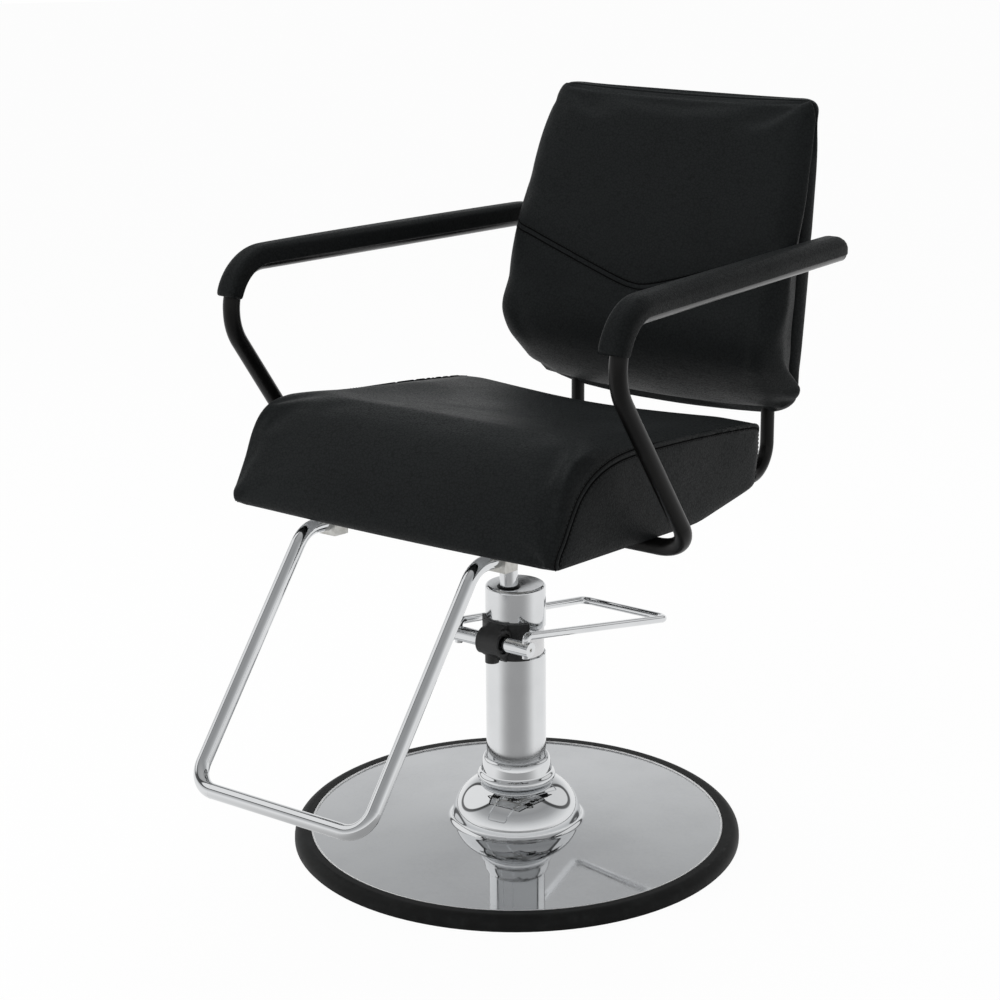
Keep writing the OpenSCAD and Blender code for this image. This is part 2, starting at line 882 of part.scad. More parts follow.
// Side outline of the seat in the tilted frame: up the front, over the top, down the rear and
// back along the underside. The front's two profiles are shares of its depth and thickness: one in
// the middle and one at the sides, where the seat is rounder.
front_mid_shares = [[0.955, -0.03], [0.99, 0.02], [1, 0.1], [0.975, 0.22], [0.925, 0.44], [0.885, 0.68],
    [0.838, 0.855], [0.77, 0.95], [0.67, 0.998]];
front_side_shares = [[0.955, -0.02], [0.98, 0.02], [0.982, 0.1], [0.95, 0.22], [0.9, 0.43],
    [0.853, 0.645], [0.8, 0.8], [0.735, 0.885], [0.64, 0.93]];
function seat_outline(s) =
    let (edge = pow(abs(s), 40), side = pow(abs(s), 24), n = len(front_mid_shares) - 1,
        d = seat_edge_t * side, dip = seat_dish * (1 - s * s), rear_h = seat_rear_h - d - dip,
        top_v = -seat_front * front_side_shares[n][0])
    concat(
        [for (i = [0 : n])
            let (q = lerp(front_mid_shares[i], front_side_shares[i], edge))
            [-seat_front * q[0] - seat_bow * (1 - s * s) * (1 - i / n), seat_front_h * q[1]]],
        [for (i = [1 : 5])
            let (t = i / 6)
            [lerp(top_v, seat_back, t),
                lerp(seat_front_h, seat_rear_h, t) - d - dip * sin(min(90, 180 * t))]],
        [[seat_back - rear_round, rear_h],
            [seat_back - rear_round_share * rear_round, rear_h - rear_round_share * rear_round],
            [seat_back + rear_puff / 2, rear_h - rear_round],
            [seat_back + rear_puff - d, lerp(seat_rear_h, rear_low_w, 0.5)],
            [rear_low_v - d, rear_low_w + d / 2],
            [lerp(rear_low_v, seat_turn, 0.5), rear_low_w / 2 + d / 4 - seat_sag / 2],
            [seat_turn, -seat_sag], [lerp(seat_turn, -seat_front, 0.5), -seat_sag]]);

// How far the rounded rear corners take the sides in at a depth
function rear_corner(v) =
    let (past = max(0, v - seat_back + seat_corner_r))
    seat_corner_r - sqrt(max(0, seat_corner_r * seat_corner_r - past * past));

module seat_cushion() {
    color("#1d1f20")
        difference() {
            in_seat()
                skin([for (s = side_stations)
                    [for (q = seat_outline(s))
                        let (t = (q[0] + seat_front) / (seat_front + seat_back), h = q[1] / seat_front_h,
                            draw = seat_side_draw * pow(2 * h - 1, 2) * pow(abs(s), 24))
                        [s * (lerp(seat_half, seat_rear_half, t) - draw - rear_corner(q[0])), q[0], q[1]]]]);
            in_seat()
                translate([0, 0, -seat_sag - over])
                    board_prism(seat_rear_half - board_inset + seat_gap, board_t + seat_sag + over);
        }
}

// Footrest

foot_path_half = [seat_point(foot_w / 2, -foot_run_end, -foot_run_drop),
    seat_point(foot_w / 2, -foot_lean_y, -foot_run_drop), [foot_w / 2, -foot_reach, foot_z]];
foot_path = concat(foot_path_half,
    [for (i = [2 : -1 : 0]) [-foot_path_half[i][0], foot_path_half[i][1], foot_path_half[i][2]]]);

module footrest_hoop() {
    color("#d3d6da")
        bent_bar(foot_path, [foot_top_bend, foot_bend, foot_bend, foot_top_bend],
            foot_r, foot_r - foot_wall);
}

// Round plug in a tube's end: a head outside and a spigot inside
module end_plug(at, along, r, bore) {
    z = unit(along);
    y = unit(cross(z, side_of(z)));
    placed(at, cross(y, z), y, z) {
        cylinder(r = r, h = plug_t);
        translate([0, 0, -3 * plug_t])
            cylinder(r = bore - run_gap, h = 3 * plug_t);
    }
}

module footrest_plugs() {
    color("#161718")
        both_sides()
            end_plug(foot_path[0], foot_path[0] - foot_path[1], foot_r, foot_r - foot_wall);
}

// Clamp block under the board that holds a tube running along the seat
module tube_clamp(x, v, w, r) {
    translate([x, v, 0])
        difference() {
            translate([-clamp_w / 2, -clamp_len / 2, w - r - clamp_t])
                cube([clamp_w, clamp_len, -w + r + clamp_t]);
            for (side = [-1, 1])
                translate([side * (clamp_w / 2 + r + clamp_t), 0, w - r - clamp_t - over])
                    translate([-clamp_w / 2, -clamp_len, 0])
                        cube([clamp_w, 2 * clamp_len, -w + r + over]);
        }
}

// Middle of each clamp: sideways, along the seat, and below the board
foot_clamp_v = [-foot_run_end - clamp_rear_inset, -foot_lean_y + clamp_front_inset];
module footrest_clamps() {
    color("#232426")
        difference() {
            in_seat()
                both_sides()
                    for (v = foot_clamp_v)
                        tube_clamp(foot_w / 2, v, -foot_run_drop, foot_r);
            both_sides()
                bar(foot_path[0] + unit(foot_path[0] - foot_path[1]) * foot_d,
                    foot_path[1], foot_r + run_gap);
            clamp_bolt_places()
                translate([0, 0, -over])
                    cylinder(d = clamp_bolt_d + 2 * seat_gap, h = clamp_t + 2 * over);
        }
}

// Each place stands at the underside of a clamp's ear
module clamp_bolt_places() {
    ear_x = (clamp_w / 2 + foot_r + clamp_t) / 2;
    in_seat()
        both_sides()
            for (v = foot_clamp_v, side = [-1, 1])
                translate([foot_w / 2 + side * ear_x, v, -clamp_t])
                    children();
}

module clamp_bolts() {
    color("#8d9196") {
        clamp_bolt_places()
            bolt_up(clamp_bolt_d, clamp_t + board_t - over);
        back_bolt_places()
            bolt_up(clamp_bolt_d, clamp_t + board_t - over);
    }
}

// Arms

arm_low_z = seat_z - arm_run_y * tan(seat_tilt) - arm_plate_t - arm_r - seat_gap;
arm_path = [[arm_rear_x, arm_rear, arm_rear_z],
    [arm_x, -arm_front, arm_z],
    [arm_x, -arm_front, arm_knee_z],
    [arm_x, arm_run_y, arm_low_z],
    [arm_inner_x, arm_run_y, arm_low_z]];
arm_bends = [arm_bend, arm_bend_low, arm_bend_seat];

module arm_tube() {
    color("#1a1b1c")
        bent_bar(arm_path, arm_bends, arm_r, arm_r - arm_wall);
}

module left_arm_tube() {
    arm_tube();
}

module right_arm_tube() {
    on_right()
        arm_tube();
}

// Section of the padded cover: sideways and outwards from the tube's middle, round the outside
// and back round the tube
pad_inner = -pad_w / 2 - pad_shift;
pad_outer = pad_w / 2 - pad_shift;
pad_inner_r = pad_inner_share * pad_w / 2;
pad_outer_r = pad_outer_share * pad_w / 2;
pad_lip = pad_lip_share * pad_h;
pad_top = arm_r + pad_h;
pad_wrap = -pad_wrap_share * arm_r;
pad_groove = arm_r + 2 * seat_gap;
pad_section = concat(
    [[pad_outer - pad_lip, pad_wrap], [pad_outer, pad_wrap + pad_lip]],
    arc([pad_outer - pad_outer_r, pad_top - pad_outer_r], pad_outer_r, 10, 90, 5),
    arc([pad_inner + pad_inner_r, pad_top - pad_inner_r], pad_inner_r, 90, 170, 4),
    [[pad_inner, pad_wrap + pad_lip], [pad_inner + pad_lip, pad_wrap]],
    arc([0, 0], pad_groove, 180 + asin(pad_wrap_share), -asin(pad_wrap_share), pad_steps));

module arm_pad() {
    turn = pad_turn_share * turn_angle(arm_path, 1);
    rows = concat([[arm_path[0], unit(arm_path[1] - arm_path[0])]],
        [for (k = [0 : pad_steps]) bend_point(arm_path, arm_bends, 1, turn * k / pad_steps)]);
    color("#1d1f20")
        skin([for (i = [0 : len(rows) - 1])
            let (at = rows[i][0], t = rows[i][1], s = unit([1, 0, 0] - t[0] * t), o = cross(t, s),
                past = max(0, 2 * i / (len(rows) - 1) - 1), thin = lerp(1, pad_end_share, past * past))
            [for (q = pad_section)
                at + s * q[0] + o * (q[1] > arm_r + over ? lerp(arm_r + over, q[1], thin) : q[1])]]);
}

module left_arm_pad() {
    arm_pad();
}

module right_arm_pad() {
    on_right()
        arm_pad();
}

module arm_end_plugs() {
    color("#161718")
        both_sides() {
            end_plug(arm_path[0], arm_path[0] - arm_path[1], arm_r, arm_r - arm_wall);
            end_plug(arm_path[4], arm_path[4] - arm_path[3], arm_r, arm_r - arm_wall);
        }
}

module arm_bolt_places() {
    in_seat()
        both_sides()
            for (v = [-1, 1])
                translate([arm_inner_x + arm_plate_w / 2,
                    arm_run_y + v * (arm_plate_len / 2 - 2 * clamp_bolt_d), -arm_plate_t])
                    children();
}

module arm_plates() {
    color("#232426")
        difference() {
            in_seat()
                both_sides()
                    translate([arm_inner_x, arm_run_y, -arm_plate_t]) {
                        translate([0, -arm_plate_len / 2, 0])
                            cube([arm_plate_w, arm_plate_len, arm_plate_t]);
                        translate([plug_t, -arm_r - arm_plate_t, -arm_r])
                            cube([arm_plate_w - 2 * plug_t, 2 * (arm_r + arm_plate_t), arm_r + over]);
                    }
            both_sides()
                bar(arm_path[4], arm_path[3], arm_r + run_gap);
            arm_bolt_places()
                translate([0, 0, -over])
                    cylinder(d = clamp_bolt_d + 2 * seat_gap, h = arm_plate_t + 2 * over);
        }
}

module arm_bolts() {
    color("#8d9196")
        arm_bolt_places()
            bolt_up(clamp_bolt_d, arm_plate_t - seat_gap);
}

// Back tubes and their clamps

back_tube_path = [[back_tube_x, back_tube_start, back_tube_z], [back_tube_x, back_tube_y, back_tube_z],
    [back_tube_x, back_tube_y, back_tube_top]];

module back_tube() {
    color("#1a1b1c")
        bent_bar(back_tube_path, [back_tube_bend], back_tube_r, back_tube_r - foot_wall);
}

module left_back_tube() {
    back_tube();
}

module right_back_tube() {
    on_right()
        back_tube();
}

module back_tube_plugs() {
    color("#161718")
        both_sides()
            end_plug(back_tube_path[0], back_tube_path[0] - back_tube_path[1], back_tube_r,
                back_tube_r - foot_wall);
}

// Height of the board's underside above the floor at the depth y
function slope_z(y, a, b) = lerp(a[2], b[2], (y - a[1]) / (b[1] - a[1]));
function board_under(y) = y < seat_point(0, seat_turn, 0)[1]
    ? slope_z(y, seat_point(0, 0, 0), seat_point(0, seat_turn, 0))
    : slope_z(y, seat_point(0, seat_turn, 0), seat_point(0, board_line[2][0], board_line[2][1]));
function ear_z(y) = min(board_under(y - clamp_len / 2), board_under(y + clamp_len / 2)) - clamp_t;
back_clamp_y = [back_tube_start + back_clamp_inset, back_tube_start + back_clamp_inset + back_clamp_step];

module back_clamp_section(y, half, low) {
    rotate([90, 0, 90])
        translate([0, 0, -half])
            linear_extrude(2 * half)
                polygon([[y - clamp_len / 2, low], [y + clamp_len / 2, low],
                    for (side = [1, -1]) let (end = y + side * clamp_len / 2) [end, board_under(end)]]);
}

module back_bolt_places() {
    ear_x = (clamp_w / 2 + back_tube_r + clamp_t) / 2;
    both_sides()
        for (y = back_clamp_y, side = [-1, 1])
            translate([back_tube_x + side * ear_x, y, ear_z(y)])
                children();
}

module back_tube_clamps() {
    color("#232426")
        difference() {
            both_sides()
                for (y = back_clamp_y)
                    translate([back_tube_x, 0, 0]) {
                        back_clamp_section(y, back_tube_r + clamp_t, back_tube_z - back_tube_r - clamp_t);
                        back_clamp_section(y, clamp_w / 2, ear_z(y));
                    }
            both_sides()
                bar(back_tube_path[0] - [0, clamp_len, 0], back_tube_path[1], back_tube_r + run_gap);
            back_bolt_places()
                translate([0, 0, -over])
                    cylinder(d = clamp_bolt_d + 2 * seat_gap, h = board_t);
        }
}

// Back: a board between a front cushion and a padded rear shell, all split along one leaning plane

function back_share(z) = (z - back_low) / (back_high - back_low);
function rear_y(z) = lerp(back_rear_y, back_top_y, back_share(z) * (2 - back_share(z)));
function split_y(z) = lerp(back_rear_y - shell_low_t, back_top_y - shell_top_t, back_share(z));
split_lean = atan((split_y(back_high) - split_y(back_low)) / (back_high - back_low));
function arc_inset(r, near) = near >= r ? 0 : r - sqrt(r * r - pow(r - max(0, near), 2));
function end_inset(z) = arc_inset(corner_low_z, z - back_low) + arc_inset(corner_z, back_high - z);
function back_half_at(z) =
    let (t = max(0, (z - back_full_z) / (back_high - back_full_z)))
    lerp(back_half, back_top_half, t * t) - end_inset(z);

// The back's foot hangs lower in the middle, by these falls at a share of the half width
function foot_fade(z, low) = max(0, 1 - (z - low) / back_foot_reach);
function foot_sag(z, low, s) = back_sag * (1 - s * s) * foot_fade(z, low);

module back_slab(half, low, high, front, rear) {
    rotate([90, 0, 90])
        translate([0, 0, -half])
            linear_extrude(2 * half)
                polygon([[split_y(low) + front, low], [split_y(low) + rear, low],
                    [split_y(high) + rear, high], [split_y(high) + front, high]]);
}

back_board_low = back_low + back_board_inset;
back_board_high = back_high - back_board_inset;
back_board_half = back_tube_x + clip_half + seat_gap;

module back_board() {
    color("#8a6a45")
        difference() {
            back_slab(back_board_half, back_board_low, back_board_high, -back_board_t, 0);
            clip_screw_places()
                cylinder(d = clip_screw_d + 2 * seat_gap, h = 3 * back_board_t, center = true);
        }
}

// Saddle that holds each tube against the board's rear face
clip_low = back_board_low + clip_inset;
clip_high = back_tube_top - clip_inset / 2;

module back_clips() {
    color("#232426")
        difference() {
            both_sides()
                translate([back_tube_x, 0, 0]) {
                    back_slab(clip_half, clip_low, clip_high, 0, clip_t);
                    intersection() {
                        back_slab(back_tube_r + clip_t, clip_low, clip_high, 0, back_board_inset + clip_half);
                        translate([-clip_half, back_tube_y - back_board_inset, clip_low])
                            cube([2 * clip_half, back_board_inset + back_tube_r + clip_t,
                                clip_high - clip_low]);
                    }
                }
            both_sides()
                bar(back_tube_path[1], back_tube_path[2] + [0, 0, clip_high], back_tube_r + run_gap);
            clip_screw_places()
                cylinder(d = clip_screw_d + 2 * seat_gap, h = 3 * back_board_t, center = true);
        }
}

module clip_screw_places() {
    ear_x = (clip_half + back_tube_r + clip_t) / 2;
    both_sides()
        for (z = [clip_low + 2 * clip_screw_d, clip_high - 2 * clip_screw_d], side = [-1, 1])
            translate([back_tube_x + side * ear_x, split_y(z) + clip_t / cos(split_lean) + run_gap, z])
                rotate([90 - split_lean, 0, 0])
                    children();
}

module clip_screws() {
    color("#8d9196")
        clip_screw_places() {
            translate([0, 0, -head_t / 2])
                cylinder(d = 2 * clip_screw_d, h = head_t / 2);
            cylinder(d = clip_screw_d, h = back_board_t);
        }
}

// Padded rear shell: level rings from bottom to top, each with rounded rear corners
shell_height_shares = [0, 0.06, 0.25, 0.56, 1];

shell_x_shares = [-0.8, -0.5, -0.2, 0.2, 0.5, 0.8];

// A point of the shell whose foot slopes down to the rear; depth 0 is its front and 1 its rear
function shell_point(x, depth, z) =
    let (tilt = lerp(shell_foot_lift, -shell_foot_drop, depth) * foot_fade(z, back_low),
        h = z + tilt - foot_sag(z, back_low, x / shell_half), front = split_y(h) + seat_gap)
    [x, lerp(front, rear_y(z) - shell_edge_share * end_inset(z), depth), h];

function shell_ring(z) =
    let (half = shell_half - end_inset(z),
        deep = rear_y(z) - shell_edge_share * end_inset(z) - split_y(z) - seat_gap,
        r = min(corner_r, deep * 0.8), flat = half - 1.3 * r)
    concat([shell_point(-half + valley_d, 0, z), shell_point(-half + valley_d / 3, 0.25 * (1 - r / deep), z),
            shell_point(-half, 0.7 * (1 - r / deep), z)],
        [for (i = [0 : 4]) let (a = 180 - 22.5 * i)
            shell_point(-flat + 1.3 * r * cos(a), 1 - r / deep * (1 - sin(a)), z)],
        [for (q = shell_x_shares) shell_point(q * flat, 1, z)],
        [for (i = [0 : 4]) let (a = 90 - 22.5 * i)
            shell_point(flat + 1.3 * r * cos(a), 1 - r / deep * (1 - sin(a)), z)],
        [shell_point(half, 0.7 * (1 - r / deep), z), shell_point(half - valley_d / 3, 0.25 * (1 - r / deep), z),
            shell_point(half - valley_d, 0, z)],
        [for (q = shell_x_shares) shell_point(-q * flat, 0, z)]);

module back_shell() {
    zs = concat([for (h = shell_height_shares) back_low + h * corner_low_z],
        [for (i = [1 : 5]) lerp(back_low + corner_low_z, back_high - corner_z, i / 6)],
        [for (i = [4 : -1 : 0]) back_high - shell_height_shares[i] * corner_z]);
    color("#1d1f20")
        difference() {
            skin([for (z = zs) shell_ring(z)]);
            both_sides() {
                translate([back_tube_x, back_tube_y, back_low - back_sag - shell_foot_drop])
                    cylinder(r = back_tube_r + seat_gap, h = clip_high - back_low);
                translate([back_tube_x, 0, 0])
                    back_slab(clip_half + seat_gap, clip_low - seat_gap, clip_high + 2 * seat_gap,
                        -over, clip_t + head_t);
                translate([back_tube_x - back_tube_r - clip_t - seat_gap, back_front_y, clip_low - seat_gap])
                    cube([2 * (back_tube_r + clip_t + seat_gap),
                        back_tube_y + back_tube_r + clip_t + seat_gap - back_front_y,
                        back_tube_top + plug_t - clip_low]);
            }
        }
}

// Front cushion: its face leans back by the shares below, which go from height to depth
back_face_shares = [[0.047, 0.56], [0.088, 0.356], [0.133, 0.218], [0.185, 0.08], [0.235, 0.015],
    [0.27, 0], [0.306, 0.03], [0.365, 0.116], [0.436, 0.182], [0.507, 0.255], [0.578, 0.335],
    [0.649, 0.429], [0.72, 0.516], [0.791, 0.604], [0.863, 0.698], [0.934, 0.793], [0.986, 0.887]];
function face_y(z) = lerp(back_front_y, split_y(back_high),
    lookup(back_share(z), back_face_shares));
function face_z(share) = lerp(back_low, back_high, share);

function back_outline(s) =
    let (seam = seam_z + seam_rise * (norm([s, seam_soft_share]) - seam_soft_share),
        face_low = face_z(back_face_shares[6][0]), face_top = face_z(back_face_shares[16][0]),
        face = [for (i = [0 : 6]) face_z(back_face_shares[i][0]),
            for (t = [0.35, 0.7]) lerp(face_low, seam, t), seam - seam_w, seam, seam + seam_w,
            for (t = [0.2, 0.4, 0.6, 0.8, 1]) lerp(seam + seam_w, face_top, t)],
        past = max(0, (abs(s) - edge_start_share) / (1 - edge_start_share)),
        edge = edge_round * (1 - sqrt(max(0, 1 - past * past))))
    concat([let (h = cushion_low - foot_sag(cushion_low, cushion_low, s)) [split_y(h), h]],
        [for (i = [0 : len(face) - 1])
            let (z = face[i], dish = back_dish * (1 - s * s) * sin(180 * back_share(z)))
            [min(face_y(z) + dish + edge + (z == seam ? seam_depth : 0), split_y(z) - rim_t),
                z - foot_sag(z, cushion_low, s)]],
        [[split_y(back_high) - rim_t / 2, back_high - rim_t / 4],
            [split_y(back_high), back_high - rim_t / 4]],
        [for (t = [0.25, 0.5, 0.75]) let (z = lerp(back_high, cushion_low, t)) [split_y(z), z]]);

module back_cushion() {
    color("#1d1f20")
        difference() {
            skin([for (s = side_stations)
                [for (q = back_outline(s))
                    let (t = max(0, (q[0] - face_y(q[1])) / (split_y(q[1]) - face_y(q[1]))))
                    [s * (back_half_at(q[1]) - (back_half - shell_half + valley_d / 2) * t * t * abs(s)),
                        q[0], q[1]]]]);
            back_slab(back_board_half + seat_gap, back_board_low - seat_gap, back_board_high + seat_gap,
                -back_board_t - seat_gap, over);
        }
}

edge_ring();
base_weight();
base_cover();
column_collar();
pump_foot();
foot_bolts();
pump_reservoir();
column_sleeve();
lift_cylinder();
head_plug();
ram_guide();
ram_wiper();
column_cap();
lever_housing();
plunger_plug();
lever_shaft();
pedal_loop();
pedal_screws();
pump_plunger();
plunger_spring();
lift_ram();
piston_head();
swivel_disc();
seat_hub();
hub_bolts();
seat_board();
seat_cushion();
footrest_hoop();
footrest_clamps();
footrest_plugs();
clamp_bolts();
left_arm_tube();
right_arm_tube();
left_arm_pad();
right_arm_pad();
arm_end_plugs();
arm_plates();
arm_bolts();
left_back_tube();
right_back_tube();
back_tube_plugs();
back_tube_clamps();
back_board();
back_clips();
clip_screws();
back_shell();
back_cushion();
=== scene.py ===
import math

import bmesh
import bpy
from mathutils import Matrix, Vector
from mathutils.bvhtree import BVHTree


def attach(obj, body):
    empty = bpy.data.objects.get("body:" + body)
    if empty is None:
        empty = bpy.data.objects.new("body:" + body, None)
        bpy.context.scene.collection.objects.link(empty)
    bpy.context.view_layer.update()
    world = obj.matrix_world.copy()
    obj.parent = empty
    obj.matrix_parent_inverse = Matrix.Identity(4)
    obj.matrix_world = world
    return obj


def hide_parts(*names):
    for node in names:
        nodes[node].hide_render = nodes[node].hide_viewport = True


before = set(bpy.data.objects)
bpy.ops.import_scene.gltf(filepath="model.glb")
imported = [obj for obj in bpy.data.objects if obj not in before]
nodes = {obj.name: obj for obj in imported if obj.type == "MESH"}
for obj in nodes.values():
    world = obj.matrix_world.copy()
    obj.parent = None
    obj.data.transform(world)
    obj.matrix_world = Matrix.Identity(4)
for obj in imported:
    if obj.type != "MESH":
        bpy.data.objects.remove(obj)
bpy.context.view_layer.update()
mm = 0.001
print("frame loaded:", len(nodes), "sub-parts")


# Shader maths: a socket that adds its own nodes when it meets an operator
class Wire:
    def __init__(self, finish, socket):
        self.finish = finish
        self.socket = socket

    def maths(self, operation, *values):
        inputs = dict(enumerate(values))
        return self.finish.node("ShaderNodeMath", {"operation": operation}, inputs)

    def __add__(self, other):
        return self.maths("ADD", self, other)

    def __rsub__(self, other):
        return self.maths("SUBTRACT", other, self)

    def __mul__(self, other):
        return self.maths("MULTIPLY", self, other)

    __radd__ = __add__
    __rmul__ = __mul__

    def within(self, low, high):
        settings = {"interpolation_type": "SMOOTHSTEP", "clamp": True}
        return self.finish.node("ShaderNodeMapRange", settings, {"Value": self, 1: low, 2: high})


# A finish: one material, or the room's world, and the nodes in it
class Finish:
    def __init__(self, name, world=None):
        self.holder = world or bpy.data.materials.new(name)
        self.holder.use_nodes = True
        self.tree = self.holder.node_tree
        self.tree.nodes.clear()

    def node(self, kind, settings=None, inputs=None, out=0):
        made = self.tree.nodes.new(kind)
        for key, value in (settings or {}).items():
            if key == "stops":
                ramp = made.color_ramp.elements
                while len(ramp) < len(value):
                    ramp.new(0.5)
                for stop, (at, colour) in zip(ramp, value):
                    stop.position = at
                    stop.color = (*colour, 1)
            else:
                setattr(made, key, value)
        for key, value in (inputs or {}).items():
            if isinstance(value, Wire):
                self.tree.links.new(value.socket, made.inputs[key])
            elif isinstance(value, (tuple, list)) and made.inputs[key].type == "RGBA":
                made.inputs[key].default_value = (*value, 1)
            else:
                made.inputs[key].default_value = value
        return Wire(self, made.outputs[out]) if len(made.outputs) else None

    def place(self, kind="Object"):
        return self.node("ShaderNodeTexCoord", out=kind)

    def ray(self, kind):
        return self.node("ShaderNodeLightPath", out=kind)

    def noise(self, where, scale, detail=2.0, rough=0.5, out=0):
        inputs = {"Vector": where, "Scale": scale, "Detail": detail, "Roughness": rough}
        return self.node("ShaderNodeTexNoise", None, inputs, out)

    def cells(self, where, scale, feature="F1"):
        return self.node("ShaderNodeTexVoronoi", {"feature": feature},
            {"Vector": where, "Scale": scale})

    def wave(self, where, direction, scale, distortion=0.0):
        return self.node("ShaderNodeTexWave", {"wave_type": "BANDS", "bands_direction": direction},
            {"Vector": where, "Scale": scale, "Distortion": distortion})

    def blend(self, factor, first, second):
        inputs = {0: factor, 6: first, 7: second}
        return self.node("ShaderNodeMix", {"data_type": "RGBA"}, inputs, 2)

    def either(self, share, first, second):
        return self.node("ShaderNodeMixShader", None, {0: share, 1: first, 2: second})

    def height(self, where):
        return self.node("ShaderNodeSeparateXYZ", None, {0: where}, 2)

    def vector(self, operation, inputs, out=0):
        return self.node("ShaderNodeVectorMath", {"operation": operation}, inputs, out)

    def stretch(self, where, ways):
        return self.vector("MULTIPLY", {0: where, 1: ways})

    def scaled(self, colour, factor):
        return self.vector("SCALE", {0: colour, "Scale": factor})

    def towards(self, where, way):
        return self.vector("DOT_PRODUCT", {0: where, 1: way}, 1)

    def bump(self, height, distance, strength=1.0, **more):
        return self.node("ShaderNodeBump", None,
            {"Height": height, "Distance": distance, "Strength": strength, **more})

    def close(self, **values):
        shader = self.node("ShaderNodeBsdfPrincipled", None,
            {key.replace("_", " "): value for key, value in values.items()})
        self.finishWith(shader)
        return self.holder

    def finishWith(self, shader):
        isWorld = isinstance(self.holder, bpy.types.World)
        kind = "ShaderNodeOutputWorld" if isWorld else "ShaderNodeOutputMaterial"
        self.node(kind, None, {"Surface": shader})


def mixed(factor, ends):
    low, high = ends
    return low + (high - low) * factor


def closeWith(f, s, shade, dust, **more):
    # The share between the two tones, and the one between the two roughnesses
    return f.close(Base_Color=f.blend(shade, *s["tones"]), Roughness=mixed(dust, s["rough"]),
        Metallic=s.get("metallic", 0.0), Specular_IOR_Level=s.get("gloss", 0.5), **more)


# Upholstery: fine pebbled grain, faint creases, a soft sheen that varies a little
leather = {
    "tones": ((0.0098, 0.0109, 0.0112), (0.0162, 0.0180, 0.0185)),
    "patchTone": 0.4, "crackTone": 0.25, "speckleTone": 0.45, "toneRange": (0.3, 0.8),
    "rough": (0.4, 0.52), "roughRange": (0.3, 0.7), "crackRough": 0.12, "gloss": 0.06,
    "wobbleScale": 160, "wobble": (0.004, 0.004, 0.004),
    "grainScale": 400, "crackScale": 220, "crackWide": 0.16, "fineScale": 1500,
    "patch": (7, 3), "speckle": (420, 2, 0.7),
    "pebbleRise": 0.6, "crackRise": 0.45, "fineRise": 0.18, "bump": 0.0004, "bumpStrength": 0.55,
    "crease": (26, 4, 0.6), "creaseStretch": (1.0, 1.6, 3.2), "creaseRange": (0.35, 0.75),
    "creaseDeep": 0.0012, "creaseStrength": 0.2,
}


def makeLeather(name, lift=1.0, creases=1.0):
    f = Finish(name)
    p = f.place()
    swirl = f.noise(p, leather["wobbleScale"], out=1)
    wobble = f.vector("MULTIPLY_ADD", {0: swirl, 1: leather["wobble"], 2: p})
    pebble = f.cells(wobble, leather["grainScale"], "SMOOTH_F1")
    edge = f.cells(wobble, leather["crackScale"], "DISTANCE_TO_EDGE")
    crack = edge.within(0.0, leather["crackWide"])
    fine = f.noise(p, leather["fineScale"])
    patch = f.noise(p, *leather["patch"])
    speckle = f.noise(p, *leather["speckle"])
    cloud = patch * leather["patchTone"] + crack * leather["crackTone"]
    shade = (cloud + speckle * leather["speckleTone"]).within(*leather["toneRange"])
    colour = f.blend(shade, *([c * lift for c in tone] for tone in leather["tones"]))
    rough = mixed(patch.within(*leather["roughRange"]), leather["rough"])
    relief = (1 - pebble) * leather["pebbleRise"] + crack * leather["crackRise"]
    grain = f.bump(relief + fine * leather["fineRise"], leather["bump"], leather["bumpStrength"])
    streak = f.noise(f.stretch(p, leather["creaseStretch"]), *leather["crease"])
    folds = f.bump(streak.within(*leather["creaseRange"]), leather["creaseDeep"] * creases,
        leather["creaseStrength"], Normal=grain)
    return f.close(Base_Color=colour, Roughness=rough + (1 - crack) * leather["crackRough"],
        Normal=folds, Specular_IOR_Level=leather["gloss"])


# Chrome plate: near mirror with faint polishing haze
chrome = {
    "tones": ((0.7, 0.71, 0.72), (0.64, 0.65, 0.66)), "rough": (0.03, 0.075), "metallic": 1.0,
    "cloud": (11, 4, 0.55), "hair": (3, 3, 0.6), "hairStretch": (60, 60, 900),
    "hairShare": 0.25, "smear": (0.35, 0.75), "bump": (0.00004, 0.2),
}


def makeChrome(name, haze=1.0):
    f = Finish(name)
    p = f.place()
    cloud = f.noise(p, *chrome["cloud"])
    hair = f.noise(f.stretch(p, chrome["hairStretch"]), *chrome["hair"])
    share = chrome["hairShare"]
    smear = (cloud * (1 - share) + hair * share).within(*chrome["smear"])
    values = {**chrome, "rough": [r * haze for r in chrome["rough"]]}
    return closeWith(f, values, smear, smear, Normal=f.bump(cloud, *chrome["bump"]))


